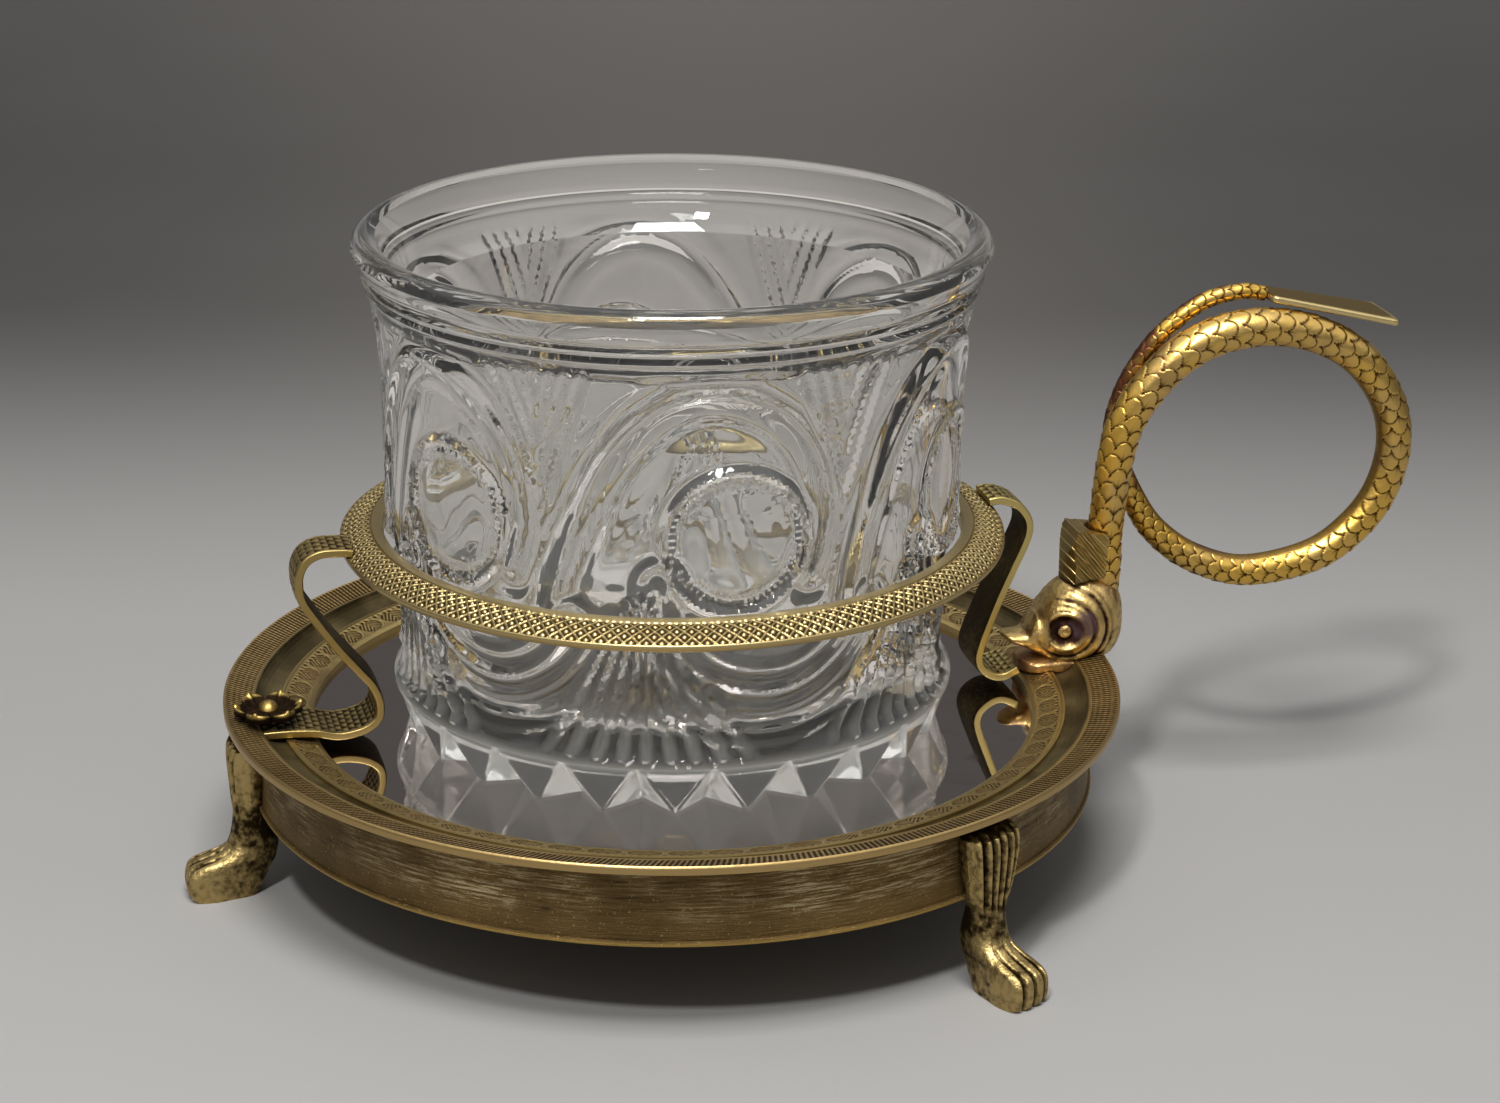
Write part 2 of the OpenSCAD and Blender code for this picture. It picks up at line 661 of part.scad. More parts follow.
module lower_jaw() {
    back_x = nape_x - jaw_back_share * head_len;
    translate([0, 0, head_z]) linear_extrude(jaw_t) union() {
        translate([jaw_front_x + jaw_t / 2, -jaw_half_w])
            square([back_x - jaw_front_x - jaw_t / 2, 2 * jaw_half_w]);
        translate([jaw_front_x, -jaw_half_w + jaw_t / 2])
            square([jaw_t, 2 * jaw_half_w - jaw_t]);
        for (side = [-1, 1])
            translate([jaw_front_x + jaw_t / 2, side * (jaw_half_w - jaw_t / 2)])
                circle(jaw_t / 2);
    }
}

module eye(side) {
    at = [nape_x - eye_shares[0] * head_len, side * head_w / 2, head_z + eye_shares[1] * head_h];
    translate(at) rotate([90, 0, 0]) rotate_extrude() translate([eye_r, 0]) circle(eye_rim_r, $fn = 24);
    translate(at) sphere(eye_ball_r);
}

// The rim's mouldings as one solid, with room to seat on them
module rim_seat() {
    up = seat_gap;
    rotate_extrude() polygon(concat(
        [[0, 0], [rim_r + up, 0], [rim_r + up, rim_z - rim_bevel + up], [rim_r - rim_bevel + up, rim_z + up],
         [wall_r, band_in_z + up]],
        [for (p = hollow_points()) p + [0, up]],
        [[hollow_in_r + ridge_w + up, ridge_z + up], [hollow_in_r, ridge_z + up],
         [leaf_in_r, mirror_z + lip_h + up], [lip_in_r - up, mirror_z + lip_h - lip_fall + up],
         [lip_in_r - up, mirror_z], [0, mirror_z]]
    ));
}

module dolphin_head() {
    color("#c79537") difference() {
        union() {
            skin([for (s = head_section_shares) head_ring(s)]);
            lower_jaw();
            for (side = [-1, 1]) {
                translate([
                    nape_x - cheek_shares[0] * head_len,
                    side * (head_w / 2 - cheek_r_share * head_h),
                    head_z + cheek_shares[1] * head_h
                ]) sphere(cheek_r_share * head_h);
                eye(side);
            }
        }
        rim_seat();
        neck_bore();
        tongue_slot();
        translate([handle_screw_at, 0, 0])
            cylinder(r = screw_r + seat_gap, h = handle_screw_top_z + seat_gap);
    }
}

module tongue_slot() {
    end_x = handle_screw_at + 2 * screw_r + seat_gap;
    translate([jaw_front_x - over, -tongue_w / 2 - seat_gap, strap_seat_z - strap_t / 2 - seat_gap])
        cube([end_x - jaw_front_x + over, tongue_w + 2 * seat_gap, strap_t + 2 * seat_gap]);
}

module dolphin_crest() {
    top_z = head_z + head_h + seat_gap;
    neck_x = body_centres[body_steps][0];
    color("#b98d3a") difference() {
        intersection() {
            translate([0, crest_w / 2, 0]) rotate([90, 0, 0]) linear_extrude(crest_w) polygon([
                for (s = crest_outline_shares) [neck_x - s[0] * crest_len, top_z + s[1] * crest_h]
            ]);
            translate([neck_x, 0, rim_z]) cylinder(r = crest_len, h = loop_h);
        }
        neck_bore_long();
        for (side = [-1, 1], i = [0:crest_grooves - 1])
            translate([
                neck_x - crest_len * (i + 0.5) / crest_grooves,
                side * crest_w / 2,
                top_z + crest_h / 2
            ]) rotate([0, -crest_groove_turn, 0]) translate([0, 0, -crest_h])
                cylinder(r = crest_groove_r, h = 2 * crest_h, $fn = 16);
    }
}

module neck_bore_long() {
    d = body_centres[2 * body_steps] - body_centres[0];
    translate(body_centres[0]) rotate([0, atan2(d[0], d[2]), 0])
        cylinder(r = body_r + 2 * seat_gap, h = head_h + crest_h);
}

module thumb_plate() {
    n = len(body_centres) - 1;
    d = heading(body_centres, n);
    root = thumb_root_share * thumb_w / 2;
    tip = thumb_w / 2;
    color("#a98a45") translate(body_centres[n] + seat_gap * d)
        rotate([0, atan2(-d[2], d[0]), 0]) translate([0, 0, -thumb_t / 2]) linear_extrude(thumb_t)
            polygon([
                [0, -root], [thumb_len - thumb_corner, -tip], [thumb_len, thumb_corner - tip],
                [thumb_len, tip - thumb_corner], [thumb_len - thumb_corner, tip], [0, root]
            ]);
}

module handle_screw() {
    z = mirror_z - ledge_t - seat_gap;
    color("#9a8450") translate([handle_screw_at, 0, 0]) {
        translate([0, 0, z - screw_head_h]) cylinder(r = screw_head_r, h = screw_head_h);
        translate([0, 0, z - screw_head_h / 2])
            cylinder(r = screw_r, h = handle_screw_top_z - z + screw_head_h / 2);
    }
}

// Glass

function glass_outside() = [for (s = glass_outline_shares) [s[0] * glass_r, s[1] * glass_h]];

// Rounded lip, from the outside over the top to the inner bevel
function glass_lip() =
    let (r = lip_round_share * glass_h)
    [for (i = [0:lip_steps])
        let (a = 180 * i / lip_steps * 0.75)
        [glass_r + lip_flare - r + r * cos(a), glass_h - r + r * sin(a)]];

function glass_inside() = concat(
    [for (s = bevel_shares) [s[0] * glass_r, s[1] * glass_h]],
    [for (i = [0:glass_floor_steps])
        let (a = 90 * i / glass_floor_steps)
        [
            glass_in_r - glass_floor_round * (1 - cos(a)),
            glass_base + glass_floor_round * (1 - sin(a))
        ]],
    [[0, glass_base]]
);

module glass_tumbler() {
    color("#dfe6e4", 0.4) translate([0, 0, mirror_z]) rotate([0, 0, glass_turn]) difference() {
        union() {
            rotate_extrude() polygon(concat([[0, 0]], glass_outside(), glass_lip(), glass_inside()));
            for (s = hoop_shares)
                rotate_extrude() translate([s[0] * glass_r - hoop_r / 2, s[1] * glass_h])
                    circle(hoop_r, $fn = 24);
        }
        for (i = [0:tooth_count - 1]) rotate([0, 0, 360 * (i + 0.5) / tooth_count]) tooth_cut();
    }
}

// One slanting cut of the wheel between two teeth: at the mirror it is tooth_depth deep
module tooth_cut() {
    tip_r = glass_outline_shares[0][0] * glass_r;
    half = tip_r * sin(180 / tooth_count);
    spread = half / (tooth_depth * sin(cut_slope));
    deep = 2 * tooth_depth;
    reach = 4 * tooth_depth;
    translate([tip_r - tooth_depth, 0, 0]) rotate([0, cut_slope, 0])
        translate([0, 0, -reach / 2]) linear_extrude(1.5 * reach)
            polygon([[0, 0], [deep, -deep * spread], [deep, deep * spread]]);
}

tray_wall();
pattern_rim();
hollow_moulding();
leaf_bezel();
mirror_plate();
core_board();
base_sheet();
base_screws();
paw_foot_left();
paw_foot_front();
paw_foot_back();
foot_screws();
gallery_ring();
strap_left();
strap_right();
rosette();
rosette_screw();
dolphin_head();
dolphin_crest();
dolphin_body();
thumb_plate();
handle_screw();
glass_tumbler();
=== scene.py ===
import math

import bpy
import numpy as np
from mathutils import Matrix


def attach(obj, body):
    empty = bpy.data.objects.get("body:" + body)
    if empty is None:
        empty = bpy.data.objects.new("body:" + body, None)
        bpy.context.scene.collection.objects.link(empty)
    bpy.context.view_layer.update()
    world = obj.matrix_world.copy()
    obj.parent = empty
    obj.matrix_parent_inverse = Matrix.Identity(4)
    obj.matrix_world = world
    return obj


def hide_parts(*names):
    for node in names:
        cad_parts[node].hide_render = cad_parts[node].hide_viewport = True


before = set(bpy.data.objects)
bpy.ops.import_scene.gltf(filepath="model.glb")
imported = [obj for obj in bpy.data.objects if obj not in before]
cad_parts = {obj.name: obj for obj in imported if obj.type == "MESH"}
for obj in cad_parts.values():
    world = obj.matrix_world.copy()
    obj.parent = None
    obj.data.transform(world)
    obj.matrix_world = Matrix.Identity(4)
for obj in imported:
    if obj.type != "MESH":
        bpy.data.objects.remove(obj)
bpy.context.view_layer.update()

# Tray side
# A plain brass band bent to a ring, brazed, and rolled in along its lower edge to hold the
# base sheet. It was never gilded: brown with age, rubbed pale in level streaks by hands.


class Wire:
    """A socket in an expression: each operator adds a Math node, with a number on either side."""

    def __init__(self, finish, socket):
        self.finish = finish
        self.socket = socket

    def math(self, operation, *others):
        return self.finish.node(
            "ShaderNodeMath", {"operation": operation}, dict(enumerate((self, *others)))
        )

    def __add__(self, other):
        return self.math("ADD", other)

    def __sub__(self, other):
        return self.math("SUBTRACT", other)

    def __mul__(self, other):
        return self.math("MULTIPLY", other)

    def __rsub__(self, other):
        return self.finish.node("ShaderNodeMath", {"operation": "SUBTRACT"}, {0: other, 1: self})

    __radd__ = __add__
    __rmul__ = __mul__

    def between(self, low, high):
        """0 below low, 1 above high, and a smooth step between them."""
        return self.finish.node(
            "ShaderNodeMapRange", {"interpolation_type": "SMOOTHSTEP"},
            {"Value": self, "From Min": low, "From Max": high},
        )


class Finish:
    """A surface finish. node() makes any node, and paint() sets the surface's own sockets."""

    def __init__(self, name, owner=None):
        self.material = owner or bpy.data.materials.new(name)
        self.material.use_nodes = True
        self.tree = self.material.node_tree
        self.surface = self.tree.nodes.get("Principled BSDF")

    def node(self, kind, settings=None, values=None, out=0):
        node = self.tree.nodes.new(kind)
        for key, value in (settings or {}).items():
            setattr(node, key, value)
        for key, value in (values or {}).items():
            self.feed(node.inputs[key], value)
        return Wire(self, node.outputs[out])

    def feed(self, socket, value):
        if isinstance(value, Wire):
            self.tree.links.new(value.socket, socket)
        elif isinstance(value, tuple) and socket.type == "RGBA":
            socket.default_value = (*value[:3], 1)
        else:
            socket.default_value = value

    def paint(self, **values):
        for key, value in values.items():
            self.feed(self.surface.inputs[key.replace("_", " ")], value)

    def metal(self, colour, rough):
        self.paint(Base_Color=colour, Metallic=1.0, Roughness=rough)

    def place(self):
        return self.node("ShaderNodeTexCoord", out=3)

    def axes(self, vector=None):
        """x, y and z of a vector, or of the place in metres."""
        parts = self.node("ShaderNodeSeparateXYZ", None, {0: vector or self.place()})
        return [Wire(self, output) for output in parts.socket.node.outputs]

    def relief(self):
        return self.node("ShaderNodeAttribute", {"attribute_name": "relief"}, out=2)

    def ray(self, kind):
        """1 where a ray of this kind looks at the surface, and 0 elsewhere."""
        return self.node("ShaderNodeLightPath", out=f"Is {kind} Ray")

    def noise(self, scale, detail=3, vector=None, rough=0.55):
        values = {"Vector": vector or self.place(), "Scale": scale, "Detail": detail}
        return self.node("ShaderNodeTexNoise", None, {**values, "Roughness": rough})

    def mix(self, share, a, b):
        return self.node("ShaderNodeMix", {"data_type": "RGBA"}, {0: share, 6: a, 7: b}, 2)

    def bump(self, height, depth, strength=1.0):
        values = {"Height": height, "Distance": depth, "Strength": strength}
        self.paint(Normal=self.node("ShaderNodeBump", None, values))


def tint(code):
    """Linear colour of a six-digit hex code."""
    parts = [int(code[i:i + 2], 16) / 255 for i in (1, 3, 5)]
    return tuple(c / 12.92 if c <= 0.04045 else ((c + 0.055) / 1.055) ** 2.4 for c in parts)


def dress(name, finish):
    """Gives a solid of the frame a finish in place of its plain one."""
    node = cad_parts[name]
    node.data.materials.clear()
    node.data.materials.append(finish.material)


def side_finish():
    """Brown brass with level rubbed streaks: noise over the cosine and sine of the angle round
    the axis and the height, which counts for far more, so that the streaks run round."""
    finish = Finish("rubbed_side")
    x, y, up = finish.axes()
    angle = y.math("ARCTAN2", x)
    around = finish.node("ShaderNodeCombineXYZ", None, {
        0: angle.math("COSINE") * 3.0, 1: angle.math("SINE") * 3.0, 2: up * 980,
    })
    streak = finish.noise(3.3, 7, around, 0.78)
    patch, fine = finish.noise(45, 4), finish.noise(2600)
    high = up.between(0.0142, 0.0175)
    worn = streak.between(0.5, 0.58) * patch.between(0.43, 0.6) * high
    cut = streak.between(0.47, 0.36) * high
    # painted highlight: edge marks the rolled lower edge, where a bright gold line is painted
    edge = up.between(0.0133, 0.0127)
    base = finish.mix(patch.between(0.3, 0.7), tint("#56452a"), tint("#7d663f"))
    base = finish.mix(cut * 0.8, base, tint("#33281a"))
    base = finish.mix(worn * 0.8, base, tint("#c6b691"))
    base = finish.mix(fine.between(0.62, 0.72) * 0.5, base, tint("#cdb478"))
    base = finish.mix(edge * 0.9, base, tint("#c9a75b"))
    finish.metal(base, 0.46 + 0.14 * patch - 0.08 * worn)
    finish.bump(streak * 0.7 + fine * 0.3, 0.0003)
    return finish


dress("tray_wall", side_finish())

# Patterned rim
# A flat ring soldered on the side's top edge, rolled with a fine slanting hatch in small beads.
# Its outer edge is rubbed bright, and the hatch keeps brown dirt in its hollows.

rim_r, rim_z, side_r = 60.0, 25.0, 56.1
band_rows, hatch_count, hatch_depth = 16, 520, 0.16


def surface(name, grid, finish, stands_for=(), body="holder", looped=False, relief=None,
            sharp=None):
    """Mesh over a grid of points in mm, whose columns run round. If looped, the last row joins
    the first, and if not, both are closed with a fan to their own middle. The sign of the volume
    turns the faces outwards. relief, 0 in hollows and 1 on tops, is kept as an attribute."""
    points = grid.reshape(-1, 3)
    level = np.ones(len(points)) if relief is None else relief.reshape(-1)
    index = np.arange(len(points)).reshape(grid.shape[:2])
    above, below = (index, np.roll(index, -1, 0)) if looped else (index[:-1], index[1:])
    quads = np.stack([above, np.roll(above, -1, 1), np.roll(below, -1, 1), below], -1)
    quads = quads.reshape(-1, 4)
    triangles = np.zeros((0, 3), int)
    for end in () if looped else (0, -1):
        ring = index[end]
        middle = len(points)
        points = np.vstack([points, points[ring].mean(0)])
        level = np.append(level, level[ring].mean())
        pair = np.stack([ring, np.roll(ring, -1)], -1)
        if end == 0:
            pair = pair[:, ::-1]
        fan = np.column_stack([pair, np.full(len(ring), middle)])
        triangles = np.vstack([triangles, fan])
    flat = np.vstack([quads[:, :3], quads[:, [0, 2, 3]], triangles])
    p, q, r = (points[flat[:, k]] for k in range(3))
    if np.einsum("ij,ij->i", p, np.cross(q, r)).sum() < 0:
        quads, triangles = quads[:, ::-1], triangles[:, ::-1]
    mesh = bpy.data.meshes.new(name)
    mesh.vertices.add(len(points))
    mesh.vertices.foreach_set("co", (points * 0.001).astype(np.float32).ravel())
    corners = np.concatenate([quads.ravel(), triangles.ravel()]).astype(np.int32)
    mesh.loops.add(len(corners))
    mesh.loops.foreach_set("vertex_index", corners)
    starts = np.concatenate([
        np.arange(len(quads)) * 4, len(quads) * 4 + np.arange(len(triangles)) * 3
    ]).astype(np.int32)
    mesh.polygons.add(len(starts))
    mesh.polygons.foreach_set("loop_start", starts)
    mesh.update(calc_edges=True)
    mesh.validate()
    mesh.shade_smooth()
    if sharp:
        mesh.set_sharp_from_angle(angle=math.radians(sharp))
    mesh.attributes.new("relief", "FLOAT", "POINT").data.foreach_set(
        "value", level.astype(np.float32)
    )
    mesh.materials.append(finish.material)
    piece = bpy.data.objects.new(name, mesh)
    bpy.context.scene.collection.objects.link(piece)
    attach(piece, body)
    if stands_for:
        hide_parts(*stands_for)
    return piece


def angles(count, start=0):
    """Angles evenly spaced round the circle, from start steps on."""
    return (np.arange(count) + start) * 2 * np.pi / count


def turned(profile, columns):
    """A profile of radius and height turned about the axis: rows are profile points, columns
    are angles. Returns the grid and the angles."""
    angle = angles(columns)
    radius, height = profile[:, 0][:, None], profile[:, 1][:, None]
    grid = np.stack(
        [radius * np.cos(angle), radius * np.sin(angle), height + 0 * angle[None, :]], -1
    )
    return grid, angle


def line(a, b, count):
    """Points evenly spaced from a up to, and without, b."""
    t = np.arange(count)[:, None] / count
    return np.array(a) * (1 - t) + np.array(b) * t


def traced(*corners):
    """Points of radius and height from corner to corner, up to and without the last one. Each
    corner also says how many points there are before the next."""
    return np.vstack([line(a[:2], b[:2], a[2]) for a, b in zip(corners, corners[1:])])


def unit(value):
    """The value held between 0 and 1."""
    return np.clip(value, 0, 1)


def aged_brass(name, high, low, rough=0.36, cut=(0.15, 0.75), spread=0.35, tarnish=None,
               patches=70, grain=0.00005):
    """Cast or chased brass: pale on the tops, brown in the hollows by the relief attribute, with
    broad patches of tarnish, and a fine pitted grain."""
    finish = Finish(name)
    top = finish.relief()
    patch = finish.noise(patches, 4)
    speck = finish.noise(1500, 4)
    raised = (top + (patch - 0.5) * spread + (speck - 0.5) * 0.3).between(*cut)
    base = finish.mix(raised, tint(low), tint(high))
    if tarnish:
        base = finish.mix(patch.between(0.5, 0.72) * 0.8, base, tint(tarnish))
    finish.metal(base, (rough + 0.3) - 0.3 * raised)
    finish.bump(speck, grain)
    return finish


rim_finish = aged_brass("rim_hatch", "#b09563", "#32240f", 0.38, cut=(0.35, 0.9), patches=130)
rim_profile = np.vstack([
    traced(
        (side_r, rim_z - 0.8, band_rows), (rim_r - 0.2, rim_z, 2), (rim_r, rim_z - 0.25, 2),
        (rim_r, rim_z - 1.1, 2), (side_r + 1.3, rim_z - 1.55, 2), (side_r, rim_z - 1.55, 0),
    ), [(side_r, rim_z - 1.54)],
])
rim_grid, rim_angle = turned(rim_profile, 3000)
across = unit(np.arange(len(rim_profile)) / band_rows)[:, None]
inside_band = (across > 0.06) & (across < 0.95)
hatch = np.cos(hatch_count * rim_angle + 7.0 * across)
hatch = hatch * (0.62 + 0.38 * np.cos(2 * np.pi * 5.2 * across))
rim_relief = np.where(inside_band, 0.5 + 0.5 * hatch, 1.0)
rim_grid[..., 2] -= inside_band * hatch_depth * (1 - rim_relief)
surface("rim_band", rim_grid, rim_finish, looped=True, relief=rim_relief, sharp=50,
        stands_for=["pattern_rim"])

# Hollow moulding
# A plain concave ring inside the patterned rim, spun from sheet. It is the dullest metal here,
# grey brown with faint cloudy spots, and a highlight is painted along its thin inner ridge
# and its outer edge.


def hollow_finish():
    """Dull brass: cloudy patches, and a painted highlight: a bright line where the distance from
    the axis meets the ridge or the outer edge."""
    finish = Finish("dull_hollow")
    x, y, _ = finish.axes()
    reach = (x * x + y * y).math("SQRT")
    patch, speck = finish.noise(120, 5), finish.noise(1800)
    # painted highlight: ridge is a bright line painted on the inner ridge and the outer edge
    ridge = reach.between(0.05285, 0.05262) + reach.between(0.0558, 0.0561)
    base = finish.mix(patch.between(0.35, 0.7), tint("#4b4029"), tint("#756848"))
    base = finish.mix(ridge * 0.8, base, tint("#b39c62"))
    finish.metal(base, 0.5 - 0.16 * ridge + 0.1 * speck)
    finish.bump(speck, 0.00005)
    return finish


dress("hollow_moulding", hollow_finish())

# Leaf bezel
# The inner ring that holds the mirror down, rolled with a band of overlapping ribbed leaves
# between plain lips. The leaves are gilded and worn, with red brown between their ribs.

leaf_count, leaf_depth = 64, 0.22
mirror_z, bezel_out, bezel_in = 21.0, 52.3, 48.3


def bell(away, width):
    """A rounded bump: e to the power of minus the square of distance over width."""
    return np.exp(-(away / width) ** 2)


bezel_finish = aged_brass("leaf_gilt", "#b39c66", "#3d2a16", 0.38, cut=(0.3, 0.9),
                          tarnish="#7d5a3c")
bezel_profile = traced(
    (bezel_in, mirror_z, 2), (bezel_in, mirror_z + 0.8, 2),
    (bezel_in + 0.6, mirror_z + 1.1, band_rows), (bezel_out - 0.3, mirror_z + 1.83, 1),
    (bezel_out, mirror_z + 1.8, 2), (bezel_out, mirror_z, 0),
)
bezel_grid, bezel_angle = turned(bezel_profile, 2160)
leaf_v = ((np.arange(len(bezel_profile)) - 4) / band_rows)[:, None]
leaf_u = leaf_count * bezel_angle / (2 * np.pi)
leaf_u = leaf_u - np.round(leaf_u)
on_leaf = (leaf_v > 0.02) & (leaf_v < 0.98)
from_leaf = np.hypot(leaf_u / 0.5, (leaf_v - 0.52) / 0.5)
rib = 0.5 + 0.5 * np.cos(2 * np.pi * (4.6 * leaf_v + 7 * np.abs(leaf_u)))
outline = bell(from_leaf - 0.93, 0.09)
leaf_relief = np.where(from_leaf < 0.93, 0.3 + 0.6 * rib * (1 - from_leaf ** 4), 0.7)
leaf_relief = np.where(leaf_v > 0.86, 0.4 + 0.5 * np.cos(2 * np.pi * 5 * leaf_u), leaf_relief)
leaf_relief = np.where(on_leaf, unit(np.maximum(leaf_relief, outline)), 1.0)
bezel_grid[..., 2] -= leaf_depth * (1 - leaf_relief)
surface("leaf_band", bezel_grid, bezel_finish, looped=True, relief=leaf_relief, sharp=50,
        stands_for=["leaf_bezel"])

# Mirror
# A thick disc of old looking glass under the bezel. It looks dark because the room that it
# shows is dark, and in it stand the glass's foot and the straps, upside down.


def mirror_finish():
    """A mirror with a pale grey brown tint and faint foxing by noise."""
    finish = Finish("old_mirror")
    spot = finish.noise(220, 5).between(0.55, 0.8)
    base = finish.mix(spot * 0.35, tint("#dcd4d1"), tint("#9c8e83"))
    finish.metal(base, 0.03 + 0.12 * spot)
    return finish


dress("mirror_plate", mirror_finish())

# Board, base sheet and screws
# Under the mirror a wooden board fills the tray, closed by a thin brass sheet held with screws.
# None of it shows from above, and the sheet is as brown and dull as such undersides are.


def board_finish():
    """Plain wood: the grain is noise over the place, stretched twelvefold across the board."""
    finish = Finish("board_wood")
    stretch = {"Vector": finish.place(), "Scale": (1.0, 12.0, 12.0)}
    grain = finish.noise(90, 5, finish.node("ShaderNodeMapping", None, stretch))
    base = finish.mix(grain.between(0.3, 0.7), tint("#6f4f30"), tint("#a07c52"))
    finish.paint(Base_Color=base, Roughness=0.7)
    finish.bump(grain, 0.0001)
    return finish


def plain_brass(name, light, dark, rough, patches):
    """Brass without a pattern: two browns in patches under a fine grain."""
    finish = Finish(name)
    patch, speck = finish.noise(patches, 5), finish.noise(1600)
    base = finish.mix(patch.between(0.32, 0.7), tint(dark), tint(light))
    finish.metal(base, rough + 0.12 * patch)
    finish.bump(speck, 0.00004)
    return finish


dress("core_board", board_finish())
dress("base_sheet", plain_brass("base_brown", "#7d6a42", "#4f4024", 0.48, 80))
screw_finish = plain_brass("screw_brass", "#b79a5c", "#8a6f3c", 0.34, 300)
for screws in ("base_screws", "foot_screws", "handle_screw"):
    dress(screws, screw_finish)

# Paw feet
# Three cast lion's paws screwed through the side: four square toes, a waisted ankle and a fan
# of flutes that ends under the rim. Dirt lies between toes and flutes, and tops are rubbed.
# The sides and back are painted darker than the front as shade.

foot_h, foot_reach, foot_w = 22.0, 10.04, 7.2
side_low, roll_h, roll_out = 12.5, 1.0, 0.42
foot_rows = np.array([
    [0, 0.06, 0.93, 0.96, 0.07, 0, 4, 0.45], [0.03, 0.03, 0.985, 1, 0.1, 0, 4, 0.45],
    [0.09, -0.03, 1.01, 1.02, 0.12, 0, 4, 0.45], [0.16, -0.1, 1, 1.02, 0.12, 0, 4, 0.45],
    [0.2, -0.15, 0.95, 1, 0.11, 0, 3.6, 0.42], [0.225, -0.18, 0.84, 0.98, 0.09, 0, 3.2, 0.4],
    [0.25, -0.2, 0.68, 0.95, 0.06, 0, 2.8, 0.36], [0.285, -0.22, 0.53, 0.9, 0.03, 0, 2.4, 0.32],
    [0.33, -0.23, 0.44, 0.84, 0.01, 0, 2.2, 0.28], [0.4, -0.2, 0.39, 0.79, 0, 0, 2.1, 0.24],
    [0.47, -0.15, 0.36, 0.77, 0, 0, 2.1, 0.18], [0.53, -0.1, 0.35, 0.79, 0, 0.02, 2.3, 0.1],
    [0.58, -0.08, 0.36, 0.84, 0, 0.06, 2.6, 0], [0.66, -0.08, 0.375, 0.94, 0, 0.1, 3, 0],
    [0.76, -0.08, 0.39, 1.05, 0, 0.12, 3.2, 0], [0.86, -0.08, 0.4, 1.14, 0, 0.12, 3.2, 0],
    [0.93, -0.08, 0.39, 1.17, 0, 0.1, 3.2, 0], [0.97, -0.08, 0.36, 1.16, 0, 0.06, 3.2, 0],
    [0.99, -0.08, 0.3, 1.12, 0, 0.04, 3.2, 0], [1, -0.08, 0.24, 1.06, 0, 0.02, 3.2, 0],
])


def smooth_path(points, steps):
    """Catmull-Rom curve through the rows of points, steps to each stretch, ending on the last."""
    p = np.vstack([points[:1], points, points[-1:]])
    a, b, c, d = p[:-3, None], p[1:-2, None], p[2:-1, None], p[3:, None]
    t = (np.arange(steps) / steps)[None, :, None]
    curve = b + 0.5 * (
        (c - a) * t + (2 * a - 5 * b + 4 * c - d) * t ** 2 + (3 * (b - c) + d - a) * t ** 3
    )
    return np.vstack([curve.reshape(-1, points.shape[1]), points[-1:]])


def spun(x, y, z, turn):
    """A grid of points turned about the axis."""
    return np.stack([
        x * np.cos(turn) - y * np.sin(turn), x * np.sin(turn) + y * np.cos(turn), z
    ], -1)


def paw(name, turn, finish):
    """Level rings up the leg: each is a rounded square between its back and its front, its
    corners set by a power, and its front furrowed by a sine, four lobes for the toes and six
    for the flutes. The back is kept clear of the tray's side."""
    rows = smooth_path(foot_rows, 6)
    share, back, front, half, toe, flute, power, heel = (rows[:, k][:, None] for k in range(8))
    angle = angles(192, 0.5)
    u = np.sin(angle)[None, :]
    w = np.sign(np.cos(angle)) * (1 - np.abs(u) ** power) ** (1 / power)
    toe_cut = (1 - np.abs(np.sin(np.pi * 2 * (u + 1)))) ** 3
    flute_cut = (1 - np.abs(np.sin(np.pi * 3 * (u + 1)))) ** 1.1
    cut = (toe * 2.2 * toe_cut + flute * 1.9 * flute_cut) * unit(w * 1.5)
    back, front = back * foot_reach, front * foot_reach
    x = (front + back) / 2 + (front - back) / 2 * w - cut * foot_reach
    y = half * foot_w / 2 * u * (1 - heel * (1 - w) / 2)
    z = share * foot_h + 0 * x
    on_roll = (z > side_low) & (z < side_low + roll_h)
    clear = np.where(z > side_low, side_r + 0.06, 0) + np.where(on_roll, roll_out, 0)
    x = np.maximum(x + side_r, np.sqrt(np.maximum(clear ** 2 - y ** 2, 0)))
    knuckle = bell(share - 0.225, 0.02) * np.abs(np.cos(np.pi * 2 * (u + 1)))
    low = 0.45 * bell(share - 0.45, 0.12) + 0.3 * knuckle
    inner = unit((0.93 - np.abs(u)) * 9)
    # painted shade: the sides and back are darker than the front; dirt lies in the cuts, and the
    # waist, knuckles and top under the rim are darker
    relief = unit(1 - 7 * cut * inner - low - 0.3 * unit(0.4 - w))
    relief = relief * np.where(share > 0.97, 0.45, 1)
    piece = surface(name, spun(x, y, z, turn), finish, relief=relief, sharp=60,
                    stands_for=[name])
    piece.name = name.replace("paw_foot", "paw")


paw_finish = aged_brass("paw_brass", "#b8a06a", "#2b200f", 0.36, cut=(0.35, 1.15), spread=1.7,
                        patches=900, grain=0.0002)
for name, turn in (("paw_foot_left", 180), ("paw_foot_front", -60), ("paw_foot_back", 60)):
    paw(name, math.radians(turn), paw_finish)

# Gallery ring
# A cast ring that steadies the glass: a plain rounded lip inside, and a sloping band chased
# with a net of raised lines with a bead in each mesh. Pale worn gilding, brown between beads.

